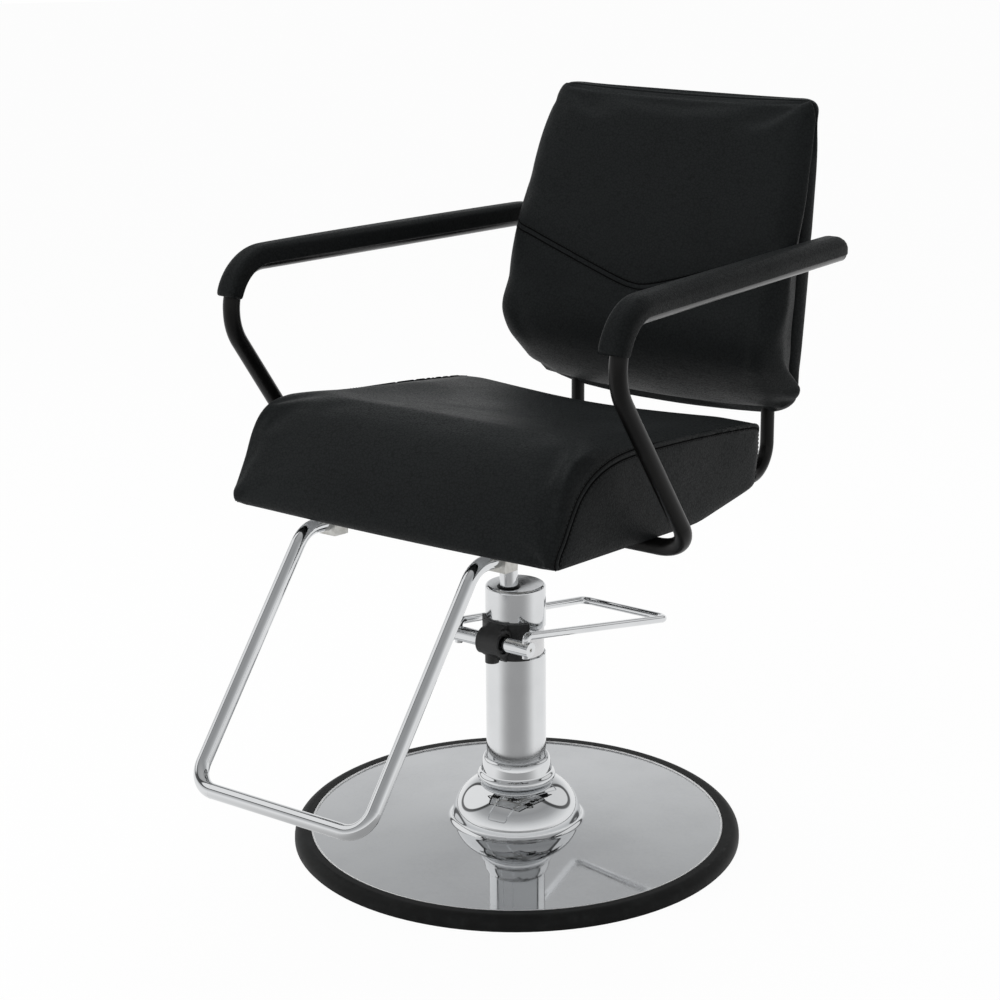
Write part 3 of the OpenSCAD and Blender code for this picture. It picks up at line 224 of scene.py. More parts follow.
# Finishes that one cloud makes: it mixes two tones and two roughnesses, and adds to the relief
paint = {
    "tones": ((0.004, 0.004, 0.004), (0.007, 0.0068, 0.0066)), "toneRange": (0.3, 0.7),
    "rough": (0.26, 0.38), "gloss": 0.16, "cloud": (14, 3), "relief": [("noise", 420)],
    "bump": (0.00006, 0.5), "coat": 0.4, "coatRough": 0.2, "coatFade": 0.015,
}
mottled = {
    "rubber": {
        "name": "blackRubber", "tones": ((0.009, 0.0093, 0.0093), (0.019, 0.02, 0.02)),
        "toneRange": (0.4, 0.8), "rough": (0.44, 0.62), "gloss": 0.12, "cloud": (38, 4, 0.6),
        "relief": [("noise", 900)], "cloudRise": 0.5, "bump": (0.00012, 0.4),
    },
    "plastic": {
        "name": "mouldedPlastic", "tones": ((0.016, 0.0162, 0.0165), (0.03, 0.0302, 0.0305)),
        "toneRange": (0.3, 0.7), "rough": (0.4, 0.55), "gloss": 0.35, "cloud": (24, 3),
        "relief": [("noise", 1100, 3)], "bump": (0.0003, 0.8),
    },
    "iron": {
        "name": "castIron", "tones": ((0.045, 0.045, 0.047), (0.09, 0.085, 0.08)),
        "toneRange": (0.3, 0.75), "rough": (0.6, 0.8), "metallic": 0.4, "cloud": (18, 4, 0.6),
        "relief": [("cells", 420)], "cloudRise": 1, "bump": (0.0006, 0.6),
    },
    "dustCloth": {
        "name": "paleDustCloth", "tones": ((0.55, 0.56, 0.57), (0.66, 0.67, 0.68)),
        "toneRange": (0.3, 0.7), "rough": (0.8, 0.95), "gloss": 0.2, "cloud": (12, 3),
        "relief": [("wave", "X", 420), ("wave", "Y", 420)], "bump": (0.0002, 0.5),
    },
    # Near-black strips that paint the shade in the grooves beside each seam's welt
    "seamGap": {
        "name": "seamShadow", "tones": ((0.0012, 0.0012, 0.0012), (0.003, 0.003, 0.003)),
        "rough": (0.85, 1.0), "gloss": 0.04, "cloud": (300, 3),
    },
}


def makeMottled(s):
    f = Finish(s["name"])
    p = f.place()
    cloud = f.noise(p, *s["cloud"])
    shade = cloud.within(*s["toneRange"]) if "toneRange" in s else cloud
    more = {}
    if "relief" in s:
        relief = cloud * s.get("cloudRise", 0)
        for kind, *values in s["relief"]:
            relief = relief + getattr(f, kind)(p, *values)
        more["Normal"] = f.bump(relief, *s["bump"])
    if "coatFrom" in s:
        above = f.height(p).within(s["coatFrom"], s["coatFrom"] + s["coatFade"])
        more |= {"Coat_Weight": above * s["coat"], "Coat_Roughness": s["coatRough"]}
    return closeWith(f, s, shade, cloud, **more)


# Turned or plated metals: tones, roughness and how fine the tool's lines are
metals = {
    "hem": ("brightHem", (0.95, 0.95, 0.95), (0.9, 0.9, 0.9), (0.45, 0.55), 900),
    "zinc": ("zincPlate", (0.62, 0.62, 0.6), (0.48, 0.47, 0.44), (0.28, 0.45), 30),
    "pump": ("turnedSteel", (0.7, 0.7, 0.7), (0.56, 0.56, 0.57), (0.12, 0.26), 2400),
    "bronze": ("turnedBronze", (0.62, 0.46, 0.24), (0.45, 0.32, 0.16), (0.25, 0.4), 900),
}
turning = {
    "cloud": (30, 4, 0.6), "line": (5, 3, 0.6), "across": 30, "mark": (0.3, 0.7),
    "bump": (0.00005, 0.4),
}


def makeMetal(name, bright, dull, rough, turned):
    f = Finish(name)
    p = f.place()
    cloud = f.noise(p, *turning["cloud"])
    ways = (turning["across"], turning["across"], turned)
    line = f.noise(f.stretch(p, ways), *turning["line"])
    mark = (cloud * 0.5 + line * 0.5).within(*turning["mark"])
    values = {"tones": (bright, dull), "rough": rough, "metallic": 1.0}
    return closeWith(f, values, mark, mark, Normal=f.bump(line, *turning["bump"]))


plywood = {
    "tones": ((0.006, 0.0055, 0.005), (0.02, 0.018, 0.016)), "toneRange": (0.25, 0.75),
    "rough": (0.6, 0.8), "gloss": 0.2, "grainStretch": (90, 6, 260), "grain": (1.4, 5, 0.65),
    "ply": (110, 0.6), "plyShare": 0.25, "bump": (0.0002, 0.5),
}


def makePlywood(name):
    f = Finish(name)
    p = f.place()
    grain = f.noise(f.stretch(p, plywood["grainStretch"]), *plywood["grain"])
    ply, share = f.wave(p, "Z", *plywood["ply"]), plywood["plyShare"]
    shade = (grain * (1 - share) + ply * share).within(*plywood["toneRange"])
    return closeWith(f, plywood, shade, grain, Normal=f.bump(grain, *plywood["bump"]))


thread = {
    "tones": ((0.003, 0.0032, 0.0032), (0.009, 0.0095, 0.0095)), "rough": (0.5, 0.7),
    "gloss": 0.1, "twistScale": 900, "bump": (0.0001, 0.5),
}


def makeThread(name):
    f = Finish(name)
    twist = f.wave(f.place(), "DIAGONAL", thread["twistScale"])
    return closeWith(f, thread, twist, twist, Normal=f.bump(twist, *thread["bump"]))


looks = {
    "leather": makeLeather("blackLeather"),
    "padLeather": makeLeather("armPadLeather", lift=0.8, creases=0.4),
    "thread": makeThread("blackThread"),
    "chrome": makeChrome("chromePlate"),
    "chromeTube": makeChrome("chromeTube", haze=0.8),
    "chromeColumn": makeChrome("chromeColumn", haze=2.2),
    "plywood": makePlywood("blackStainedPlywood"),
    "paint": makeMottled({**paint, "name": "satinBlackPaint"}),
    # The arms' lacquer stays glossy above a height; below it hands and shoes have dulled it
    "armPaint": makeMottled({**paint, "name": "glossBlackPaint", "coatFrom": 0.738}),
}
looks |= {key: makeMottled(values) for key, values in mottled.items()}
looks |= {key: makeMetal(*values) for key, values in metals.items()}
nodeLooks = {
    "chrome": ["base_cover", "column_collar", "lever_shaft"],
    "chromeColumn": ["column_sleeve", "column_cap", "lift_ram"],
    "chromeTube": ["pedal_loop", "footrest_hoop"],
    "rubber": ["edge_ring", "ram_wiper"],
    "iron": ["base_weight", "pump_foot"],
    "zinc": ["foot_bolts", "hub_bolts", "clamp_bolts", "arm_bolts", "clip_screws", "pedal_screws",
        "pump_plunger", "plunger_spring", "plunger_plug", "head_plug", "seat_hub",
        "footrest_clamps"],
    "pump": ["pump_reservoir", "lift_cylinder", "piston_head"],
    "bronze": ["ram_guide", "swivel_disc"],
    "plastic": ["lever_housing", "footrest_plugs", "arm_end_plugs", "back_tube_plugs"],
    "paint": ["arm_plates", "left_back_tube", "right_back_tube", "back_tube_clamps", "back_clips"],
    "armPaint": ["left_arm_tube", "right_arm_tube"],
    "plywood": ["back_board"],
    "dustCloth": ["seat_board"],
    "leather": ["seat_cushion", "left_arm_pad", "right_arm_pad", "back_shell", "back_cushion"],
}
for look, names in nodeLooks.items():
    for name in names:
        nodes[name].data.materials.clear()
        nodes[name].data.materials.append(looks[look])
print("finishes made:", len(looks))


# Lines and meshes

def throughPoints(keys, counts):
    # Catmull-Rom curve through the keys, spaced by the root of their distance so that it never
    # loops. Each key is two numbers, and the count says how many points run on from it.
    keys = [Vector((*key, 0)) for key in keys]
    line = []
    for i, steps in enumerate(counts):
        a, b, c, d = (keys[max(0, min(len(keys) - 1, k))] for k in (i - 1, i, i + 1, i + 2))
        # The line runs straight on past its ends
        if a == b:
            a = b * 2 - c
        if c == d:
            d = c * 2 - b
        ta = 0.0
        tb = ta + math.sqrt((b - a).length)
        tc = tb + math.sqrt((c - b).length)
        td = tc + math.sqrt((d - c).length)
        for k in range(steps):
            t = tb + (tc - tb) * k / steps
            ab = a.lerp(b, (t - ta) / (tb - ta))
            bc = b.lerp(c, (t - tb) / (tc - tb))
            cd = c.lerp(d, (t - tc) / (td - tc))
            abc = ab.lerp(bc, (t - ta) / (tc - ta))
            bcd = bc.lerp(cd, (t - tb) / (td - tb))
            line.append(abc.lerp(bcd, (t - tb) / (tc - tb)))
    return line + [keys[-1]]


def smoothStep(x, low, high):
    t = max(0.0, min(1.0, (x - low) / (high - low)))
    return t * t * (3 - 2 * t)


def arcPoints(middle, radius, start, end, steps):
    angles = [math.radians(start + (end - start) * k / steps) for k in range(steps + 1)]
    return [(middle[0] + radius * math.cos(a), middle[1] + radius * math.sin(a)) for a in angles]


def fullTurn(steps):
    return [2 * math.pi * k / steps for k in range(steps)]


def settle(mesh, closing=False):
    # Turns the faces outward and shades them smooth, after closing any holes if asked
    work = bmesh.new()
    work.from_mesh(mesh)
    if closing:
        bmesh.ops.holes_fill(work, edges=[e for e in work.edges if e.is_boundary], sides=0)
    bmesh.ops.recalc_face_normals(work, faces=work.faces)
    work.to_mesh(mesh)
    work.free()
    for polygon in mesh.polygons:
        polygon.use_smooth = True


def makeObject(name, points, faces, look):
    mesh = bpy.data.meshes.new(name)
    mesh.from_pydata([tuple(p) for p in points], [], faces)
    mesh.validate()
    settle(mesh)
    made = bpy.data.objects.new(name, mesh)
    bpy.context.scene.collection.objects.link(made)
    mesh.materials.append(looks[look])
    return made


def gridFaces(rows, columns, closed, first=0):
    faces = []
    for i in range(rows - 1):
        for j in range(columns if closed else columns - 1):
            k = (j + 1) % columns
            a = first + i * columns
            faces.append((a + j, a + k, a + columns + k, a + columns + j))
    return faces


def tubeFaces(rows, columns, first=0):
    # A closed grid with a face over each end
    ends = [tuple(range(first + i * columns, first + (i + 1) * columns)) for i in (0, rows - 1)]
    return gridFaces(rows, columns, True, first) + [ends[0][::-1], ends[1]]


def bridge(one, other):
    # Faces between two closed rings of points
    n = len(one)
    return [(one[j], one[(j + 1) % n], other[(j + 1) % n], other[j]) for j in range(n)]


def closeIn(points, faces, base, rings):
    # Adds ring after ring to the one that starts at base, and gives back the last
    count = len(rings[0])
    last = range(base, base + count)
    for ring in rings:
        now = range(len(points), len(points) + count)
        points += ring
        faces += bridge(last, now)
        last = now
    return last


def bentPath(start, corner, end, bend, legs, steps):
    # Points and directions along two straight legs joined by one bend, as a bent tube runs
    start, corner, end = Vector(start), Vector(corner), Vector(end)
    into, out = (corner - start).normalized(), (end - corner).normalized()
    turned = into.angle(out)
    reach = bend * math.tan(turned / 2)
    centre = corner + (out - into).normalized() * bend / math.cos(turned / 2)
    bendStart, bendEnd = corner - into * reach, corner + out * reach
    away = (bendStart - centre).normalized()
    line = [(start.lerp(bendStart, k / legs), into) for k in range(legs)]
    for k in range(steps):
        a = turned * k / steps
        line.append((centre + bend * (away * math.cos(a) + into * math.sin(a)),
            into * math.cos(a) - away * math.sin(a)))
    line += [(bendEnd.lerp(end, k / legs), out) for k in range(legs + 1)]
    return line


# Soft panels swell under cloth pressure between the seams, which stay pinned
swelling = {
    "quality": 6, "mass": 0.35, "tension_stiffness": 18, "compression_stiffness": 18,
    "shear_stiffness": 8, "bending_stiffness": 1.2, "use_pressure": True,
}
swellFrames = 20


def pinGrid(piece, rows, columns, weigh):
    # Every point past the grid is pinned, and those of the grid by what their weight says
    pinned = {k: 1.0 for k in range(rows * columns, len(piece.data.vertices))}
    for i in range(rows):
        for j in range(columns):
            pinned[i * columns + j] = float(weigh(i, j))
    return {k: weight for k, weight in pinned.items() if weight}


def inflate(piece, pinned, pressure, limit):
    # No point moves farther than the limit
    start = [v.co.copy() for v in piece.data.vertices]
    group = piece.vertex_groups.new(name="pins")
    for index, weight in pinned.items():
        group.add([index], weight, "REPLACE")
    cloth = piece.modifiers.new("swell", "CLOTH")
    for key, value in swelling.items():
        setattr(cloth.settings, key, value)
    cloth.settings.uniform_pressure_force = pressure
    cloth.settings.effector_weights.gravity = 0
    cloth.settings.vertex_group_mass = "pins"
    cloth.collision_settings.use_collision = False
    cloth.point_cache.frame_start = 1
    cloth.point_cache.frame_end = swellFrames
    scene = bpy.context.scene
    for number in range(1, swellFrames + 1):
        scene.frame_set(number)
    swollen = piece.evaluated_get(bpy.context.evaluated_depsgraph_get())
    moved = [v.co.copy() for v in swollen.to_mesh().vertices]
    swollen.to_mesh_clear()
    piece.modifiers.remove(cloth)
    piece.vertex_groups.remove(group)
    scene.frame_set(1)
    for vertex, old, new in zip(piece.data.vertices, start, moved):
        step = new - old
        if step.length > limit:
            step *= limit / step.length
        vertex.co = old + step


def finishPad(piece, replaced):
    subdivide = piece.modifiers.new("smooth", "SUBSURF")
    subdivide.levels = subdivide.render_levels = 1
    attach(piece, "seat")
    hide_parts(replaced)


def surfaceOf(piece):
    return BVHTree.FromObject(piece, bpy.context.evaluated_depsgraph_get())


def onSurface(tree, points):
    # The nearest places on a surface, each with the surface's normal
    found = [tree.find_nearest(point) for point in points]
    return [(place, normal) for place, normal, _, _ in found if place is not None]


def aheadAt(spots, i):
    return spots[min(i + 1, len(spots) - 1)][0] - spots[max(i - 1, 0)][0]


def shifted(line, tree, offset):
    # The same line moved sideways along the surface
    spots = onSurface(tree, line)
    return [place + aheadAt(spots, i).cross(normal).normalized() * offset
        for i, (place, normal) in enumerate(spots)]


def evenly(points, gap):
    # The same line with its points a fixed gap apart
    line = [points[0]]
    left = gap
    for a, b in zip(points, points[1:]):
        length = (b - a).length
        done = 0.0
        while length - done >= left:
            done += left
            line.append(a.lerp(b, done / length))
            left = gap
        left -= length - done
    return line


def sewOn(name, points, faces, look):
    piece = makeObject(name, points, faces, look)
    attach(piece, "seat")


# Flat raised strip that follows a surface. Its section is in shares of half the width and of the
# height, and its ends run out over a few points.
band = {
    "gap": 4, "runOut": 3,
    "section": [(-1.0, -1.0), (-0.92, 0.2), (-0.6, 0.85), (-0.2, 1.0),
        (0.2, 1.0), (0.6, 0.85), (0.92, 0.2), (1.0, -1.0)],
}


def makeBand(name, tree, points, width, height, sink, look):
    spots = onSurface(tree, evenly(points, band["gap"] * mm))
    rings = []
    for i, (place, normal) in enumerate(spots):
        side = aheadAt(spots, i).cross(normal).normalized()
        grow = min(1.0, (i + 1) / band["runOut"], (len(spots) - i) / band["runOut"])
        for across, up in band["section"]:
            rise = (up * height - sink) * grow - (1 - grow) * sink
            rings.append(place + side * across * width / 2 + normal * rise)
    sewOn(name, rings, tubeFaces(len(spots), len(band["section"])), look)


# Short threads, each a small capsule half sunk in the leather. Its rings are how far along, how
# fat and how high, in shares of the length and the thickness.
stitch = {
    "length": 3.6, "gap": 5.6, "thick": 0.55, "sides": 6,
    "rings": [(-0.5, 0.35, -0.5), (-0.36, 0.9, 0.15), (0.0, 1.0, 0.35), (0.36, 0.9, 0.15),
        (0.5, 0.35, -0.5)],
}


def makeStitches(name, tree, lines):
    points, faces = [], []
    sides, thick = stitch["sides"], stitch["thick"] * mm
    for line in lines:
        spots = onSurface(tree, evenly(line, stitch["gap"] * mm))
        for (place, normal), (onward, _) in zip(spots, spots[1:]):
            ahead = (onward - place).normalized()
            side = ahead.cross(normal).normalized()
            up = side.cross(ahead)
            first = len(points)
            for along, fat, rise in stitch["rings"]:
                middle = place + ahead * along * stitch["length"] * mm + up * rise * thick
                points += [middle + (side * math.cos(a) + up * math.sin(a)) * fat * thick
                    for a in fullTurn(sides)]
            faces += tubeFaces(len(stitch["rings"]), sides, first)
    sewOn(name, points, faces, "thread")


# Felled seam: a strip between two lines of painted shade, laid where the grooves beside it would
# lie in shadow, with a row of stitches outside each
seam = {
    "strip": 5.6, "rise": 0.8, "sink": 0.3, "line": 1.9, "lineRise": 0.22, "lineAt": 3.7,
    "stitchAt": 5.9, "gap": 3,
}


def makeSeam(name, tree, line):
    # Gives back where its stitches run
    path = evenly(line, seam["gap"] * mm)
    makeBand(name + "Welt", tree, path, seam["strip"] * mm, seam["rise"] * mm, seam["sink"] * mm,
        "leather")
    # Both lines are near-black strips: painted shade in the grooves on each side of the welt
    for end, way in (("InnerLine", -1), ("OuterLine", 1)):
        makeBand(name + end, tree, shifted(path, tree, way * seam["lineAt"] * mm),
            seam["line"] * mm, seam["lineRise"] * mm, 0, "seamGap")
    return [shifted(path, tree, way * seam["stitchAt"] * mm) for way in (-1, 1)]


# Seat cushion. Outlines are depth and height in the tilted seat's frame, in millimetres, one for
# the middle and one for the sides. Cuts are shares of the half width.
seat = {
    "height": 471.6, "tilt": 4.45, "halfFront": 248, "halfRear": 237, "front": 277, "rear": 214,
    "middle": [(-263.5, -3.6), (-273, 2), (-277, 12.5), (-270, 28), (-256.5, 56), (-245, 86),
        (-232, 108.5), (-213, 121), (-185, 126.5), (-137, 125.6), (-105, 124), (-71, 122.2),
        (0, 118), (80, 113.8), (150, 109.8), (200, 106.4), (210, 103.6), (216.4, 96), (219.2, 66),
        (212, 31), (206, 23.5)],
    "side": [(-258, -2.8), (-263, 3), (-260.5, 12.5), (-249, 30), (-235.5, 54), (-220, 76),
        (-198, 93), (-170, 104.5), (-138, 111), (-105, 113.4), (-80, 114), (-60, 114.2),
        (0, 113.6), (80, 111.6), (150, 108.4), (197, 104.8), (206.5, 102.4), (213, 95),
        (216.5, 65), (210, 32), (205, 25)],
    "counts": [3, 3, 4, 5, 5, 4, 4, 4, 5, 4, 4, 7, 8, 7, 5, 3, 3, 4, 4, 2],
    "cuts": [0.0, 0.06, 0.12, 0.18, 0.24, 0.30, 0.36, 0.42, 0.48, 0.54, 0.60, 0.66, 0.72, 0.78,
        0.83, 0.87, 0.895, 0.908, 0.925, 0.945],
    "edgeRound": 9, "edgeTurns": (0, 18, 36, 54, 72, 90), "cornerRound": 5,
    "bow": 10, "bowRange": (40, 128),
    "dish": 10, "dishFrom": -177, "dishFull": 18, "dishRange": (62, 97),
    "boardHalf": 224.5, "boardFront": -262.4, "boardRear": 198, "boardTop": 12.6, "turn": 60,
    "rimInset": 4, "rearRise": 26, "sag": 2.8, "underSteps": (5, 9),
    "pressure": 3.0, "swellLimit": 7, "nearSeamPin": 0.6, "fill": 0.8,
}
# Side panels: rings that close in from the seam to the panel's middle line, and a swelling that
# grows with the distance from the seam
panel = {
    "rings": (0.012, 0.05, 0.12, 0.22, 0.36, 0.52, 0.7, 0.88),
    "shorten": 0.55, "ahead": 10, "height": 523, "flatten": 0.06,
    "puff": 3.2, "puffReach": 11, "sink": 0.8, "sinkReach": 2, "borderReach": 3,
}


def seatPoint(x, v, w):
    a = math.radians(seat["tilt"])
    return Vector((x, v * math.cos(a) + w * math.sin(a),
        seat["height"] - v * math.sin(a) + w * math.cos(a))) * mm


def seatHalf(v):
    # Half the seat's width at a depth
    share = (v + seat["front"]) / (seat["front"] + seat["rear"])
    return seat["halfFront"] + (seat["halfRear"] - seat["halfFront"]) * share


def sideWidth(p):
    # The same at a point in the shared frame, in metres
    a = math.radians(seat["tilt"])
    return seatHalf(p.y / mm * math.cos(a) - (p.z / mm - seat["height"]) * math.sin(a)) * mm


def seatUnder(overBoard):
    # The underside goes back to the front along the board, or along the rim outside it
    if overBoard:
        level, front = seat["boardTop"], seat["boardFront"]
    else:
        level, front = -seat["sag"], seat["boardFront"] + seat["rimInset"]
    share = (seat["boardRear"] - seat["turn"]) / (seat["rear"] - seat["turn"])
    rear = (seat["boardRear"], seat["rearRise"] * share + level)
    line = [rear]
    turn = (seat["turn"], level)
    for a, b, steps in zip((rear, turn), (turn, (front, level)), seat["underSteps"]):
        line += [(a[0] + (b[0] - a[0]) * k / steps, a[1] + (b[1] - a[1]) * k / steps)
            for k in range(1, steps + 1)]
    return line


def seatStations():
    # Cuts from side to side: how far out, and how far round the edge towards the side's outline
    half = seat["halfFront"]
    turns = [math.radians(a) for a in seat["edgeTurns"]]
    edge = [((half - seat["edgeRound"] * (1 - math.sin(a))) / half, 1 - math.cos(a)) for a in turns]
    out = [(s, 0.0) for s in seat["cuts"]] + edge
    return [(-s, e) for s, e in reversed(out[1:])] + out


def seatRing(middle, side, s, edge):
    # One cut's outline, bowed at the front and dished on top
    crown = 1 - s * s
    ring = []
    for a, b in zip(middle, side):
        v, w, _ = a.lerp(b, edge)
        if v < 0:
            v -= seat["bow"] * crown * (1 - smoothStep(w, *seat["bowRange"]))
        into = (v - seat["dishFrom"]) / (seat["dishFull"] - seat["dishFrom"])
        deep = math.sin(math.pi / 2 * max(0.0, min(1.0, into)))
        w -= seat["dish"] * crown * deep * smoothStep(w, *seat["dishRange"])
        ring.append((v, w))
    return ring + seatUnder(abs(s) * seat["halfFront"] < seat["boardHalf"])


def cornerTuck(v):
    # The rear corners are rounded in plan
    r = seat["cornerRound"]
    past = min(max(0.0, v - (seat["rear"] - r)), r)
    return r - math.sqrt(max(0.0, r * r - past ** 2))


def panelHub(p):
    y = p.y * panel["shorten"] - panel["ahead"] * mm
    middle = panel["height"] * mm
    return Vector((p.x, y,
        middle + (p.z - middle) * panel["flatten"] - y * math.sin(math.radians(seat["tilt"]))))


def panelPoint(outline, rim, q, way):
    # The panel swells away from its seam, and the rim's own inset fades out behind it
    near = min(Vector((q.y - p.y, q.z - p.z)).length for p in outline) / mm
    swell = panel["puff"] * (1 - math.exp(-near / panel["puffReach"]))
    swell -= panel["sink"] * math.exp(-near / panel["sinkReach"])
    border = (rim.x - way * sideWidth(rim)) * math.exp(-near / panel["borderReach"])
    q.x = way * (sideWidth(q) + swell * mm) + border
    return q


def addSidePanel(points, faces, base, count, way):
    outline = points[base:base + count]
    rings = [[panelPoint(outline, p, p.lerp(panelHub(p), share), way) for p in outline]
        for share in panel["rings"]]
    last = closeIn(points, faces, base, rings)
    points.append(sum((points[k] for k in last), Vector()) / count)
    faces += [(last[j], last[(j + 1) % count], len(points) - 1) for j in range(count)]


def buildSeat():
    # Gives back the pad, its pins and the rows of points along its two side seams
    middle = throughPoints(seat["middle"], seat["counts"])
    side = throughPoints(seat["side"], seat["counts"])
    points = []
    stations = seatStations()
    for s, edge in stations:
        ring = seatRing(middle, side, s, edge)
        points += [seatPoint(s * (seatHalf(v) - cornerTuck(v)), v, w) for v, w in ring]
    rows, count, top = len(stations), len(ring), len(middle)
    faces = gridFaces(rows, count, True)
    for base, way in (((rows - 1) * count, 1), (0, -1)):
        addSidePanel(points, faces, base, count, way)
    piece = makeObject("seatPad", points, faces, "leather")

    def weigh(i, j):
        fromSeam = min(i, rows - 1 - i)
        if j == 0 or j >= top - 1 or fromSeam == 0:
            return 1.0
        return seat["nearSeamPin"] if fromSeam <= 2 else 0

    seams = [[base + j for j in range(1, top - 1)] for base in (0, (rows - 1) * count)]
    return piece, pinGrid(piece, rows, count, weigh), seams


def sewSeat(seams):
    tree = surfaceOf(seatPad)
    lines = []
    for side, line in zip(("right", "left"), seams):
        lines += makeSeam(side + "Seat", tree, line)
    makeStitches("seatStitches", tree, lines)


seatPad, seatPins, seatRows = buildSeat()
print("seat pad:", len(seatPad.data.vertices), "points")
inflate(seatPad, seatPins, seat["pressure"], seat["swellLimit"] * mm)
seatSeams = [[seatPad.data.vertices[k].co.copy() for k in row] for row in seatRows]
finishPad(seatPad, "seat_cushion")
print("seat pad shaped")
sewSeat(seatSeams)
print("seat seams sewn")


# Back: the front cushion and the padded rear shell are both raised from one leaning split plane.
# The face is shares of the height and of the depth from the foremost line to the plane at the top.
back = {
    "low": 538, "high": 958, "halfLow": 224, "halfTop": 210, "fullHeight": 690, "rearHalf": 200.5,
    "corner": 16, "cornerLow": 24, "sag": 11, "footReach": 62, "topSag": 5, "topFrom": 880,
    "frontDepth": 260, "splitLow": 352, "splitHigh": 404, "cushionLow": 548,
    "face": [(0.047, 0.56), (0.088, 0.356), (0.133, 0.218), (0.185, 0.08), (0.235, 0.015),
        (0.27, 0), (0.306, 0.03), (0.365, 0.116), (0.436, 0.182), (0.507, 0.255), (0.578, 0.335),
        (0.649, 0.429), (0.72, 0.516), (0.791, 0.604), (0.863, 0.698), (0.934, 0.793),
        (0.975, 0.86)],
    "footSet": 0.5, "topKeys": [(16, 3.2), (8, 0.9), (0, 1)],
    "counts": [4, 4, 4, 4, 3, 3, 3] + [4] * 10 + [3, 3, 3],
    "wallCuts": (0.0, 0.3, 0.6, 0.85), "wallEase": 1.6, "edgeTurns": (0, 18, 36, 54, 72, 90),
    "faceCuts": (0.96, 0.91, 0.85, 0.78, 0.7, 0.61, 0.52, 0.43, 0.34, 0.25, 0.17, 0.09, 0.0),
    "sideRound": 23, "roomShare": 0.9, "footRound": 26, "footRoundTo": 690, "dish": 9,
    "cornerReach": 48, "footTuck": 6, "edgeSet": 1.5, "edgeFrom": 0.8, "skinInset": 0.12,
    "seam": 702, "seamRise": 74, "seamSoft": 0.1, "seamMiddle": 0.45, "bendKey": 6,
    "nearSeamPin": 0.35, "seamSink": 1.4, "seamEnd": 0.5,
    "pressure": 2.6, "swellLimit": 5, "fill": 0.75,
}


def backShare(z):
    return (z - back["low"]) / (back["high"] - back["low"])


def faceHeight(share):
    return back["low"] + share * (back["high"] - back["low"])


def splitDepth(z):
    return back["splitLow"] + (back["splitHigh"] - back["splitLow"]) * backShare(z)


def arcInset(r, near):
    return 0.0 if near >= r else r - math.sqrt(r * r - (r - max(0.0, near)) ** 2)


def backInset(z):
    # How far the rounded corners draw the sides in
    return arcInset(back["cornerLow"], z - back["low"]) + arcInset(back["corner"], back["high"] - z)


def footFade(z, low):
    return max(0.0, min(1.0, 1 - (z - low) / back["footReach"]))


def backHalf(z):
    t = max(0.0, (z - back["fullHeight"]) / (back["high"] - back["fullHeight"]))
    return back["halfLow"] + (back["halfTop"] - back["halfLow"]) * t * t - backInset(z)


def topSag(z, s):
    return back["topSag"] * max(0.0, 1 - s * s) * smoothStep(z, back["topFrom"], back["high"])


def seamHeight(s):
    # The sewn V, softened at its middle
    soft = back["seamSoft"]
    return back["seam"] + back["seamRise"] * (math.sqrt(s * s + soft * soft) - soft)


def backProfile():
    # The front's middle line from foot to top, as depth and height
    top = splitDepth(back["high"])
    reach = top - back["frontDepth"]
    keys = [(back["frontDepth"] + reach * depth, faceHeight(share))
        for share, depth in back["face"]]
    keys[0] = (keys[0][0], keys[0][1] - back["footSet"])
    keys.insert(0, (splitDepth(back["cushionLow"]), back["cushionLow"]))
    keys += [(top - inward, back["high"] - below) for inward, below in back["topKeys"]]
    return [(p.x, p.y) for p in throughPoints(keys, back["counts"])]


def backColumns():
    # From the split plane round the side wall and the front edge to the middle, and back
    half = [("wall", t) for t in back["wallCuts"]] + [("round", a) for a in back["edgeTurns"]]
    half += [("face", s) for s in back["faceCuts"]]
    return [(*c, -1) for c in half] + [(*c, 1) for c in reversed(half[:-1])]


def depthAt(profile, z):
    for a, b in zip(profile, profile[1:]):
        if a[1] <= z <= b[1] and b[1] > a[1]:
            return a[0] + (b[0] - a[0]) * (z - a[1]) / (b[1] - a[1])
    return profile[-1][0]


def bentRow(profile, middle, depth, z, s):
    # Rows bend so that one of them lies along the sewn V
    low, high = (faceHeight(back["face"][key][0]) for key in (back["bendKey"], -1))
    if not low < z < high:
        return depth, z
    end = low if z <= middle else high
    bent = end + (z - end) * (seamHeight(s) - end) / (middle - end)
    return depthAt(profile, bent), bent


def cushionPoint(profile, middle, spot, column, atRim):
    depth, z = spot
    kind, at, way = column
    half = backHalf(z)
    space = max(0.0, splitDepth(z) - depth)
    tuck = max(0.0, 1 - space / back["cornerReach"]) ** 2
    half -= (half - back["rearHalf"] + back["footTuck"]) * tuck
    foot = 1 - smoothStep(z, back["cushionLow"], back["footRoundTo"])
    roll = back["sideRound"] + back["footRound"] * foot
    turned = math.radians(at)
    if kind == "face":
        x = at * (half - roll)
    elif kind == "round":
        x = half - roll + roll * math.cos(turned)
    else:
        rear = back["rearHalf"] - backInset(z)
        x = rear + (half - rear) * at ** back["wallEase"]
    s = min(1.0, x / back["halfLow"])
    depth, z = bentRow(profile, middle, depth, z, s)
    limit = splitDepth(z)
    r = min(roll, max(0.0, limit - depth) * back["roomShare"])
    if kind == "face":
        y = depth + back["dish"] * (1 - s * s) * math.sin(math.pi * backShare(z))
        y += back["edgeSet"] * smoothStep(at, back["edgeFrom"], 1.0)
    elif kind == "round":
        y = depth + back["edgeSet"] + r - r * math.sin(turned)
    else:
        y = limit + (depth + back["edgeSet"] + r - limit) * at
    sag = back["sag"] * max(0.0, 1 - s * s) * footFade(z, back["cushionLow"])
    y = min(limit if atRim else min(y, limit), splitDepth(z - sag))
    return Vector((way * x, y, z - sag - topSag(z, s))) * mm


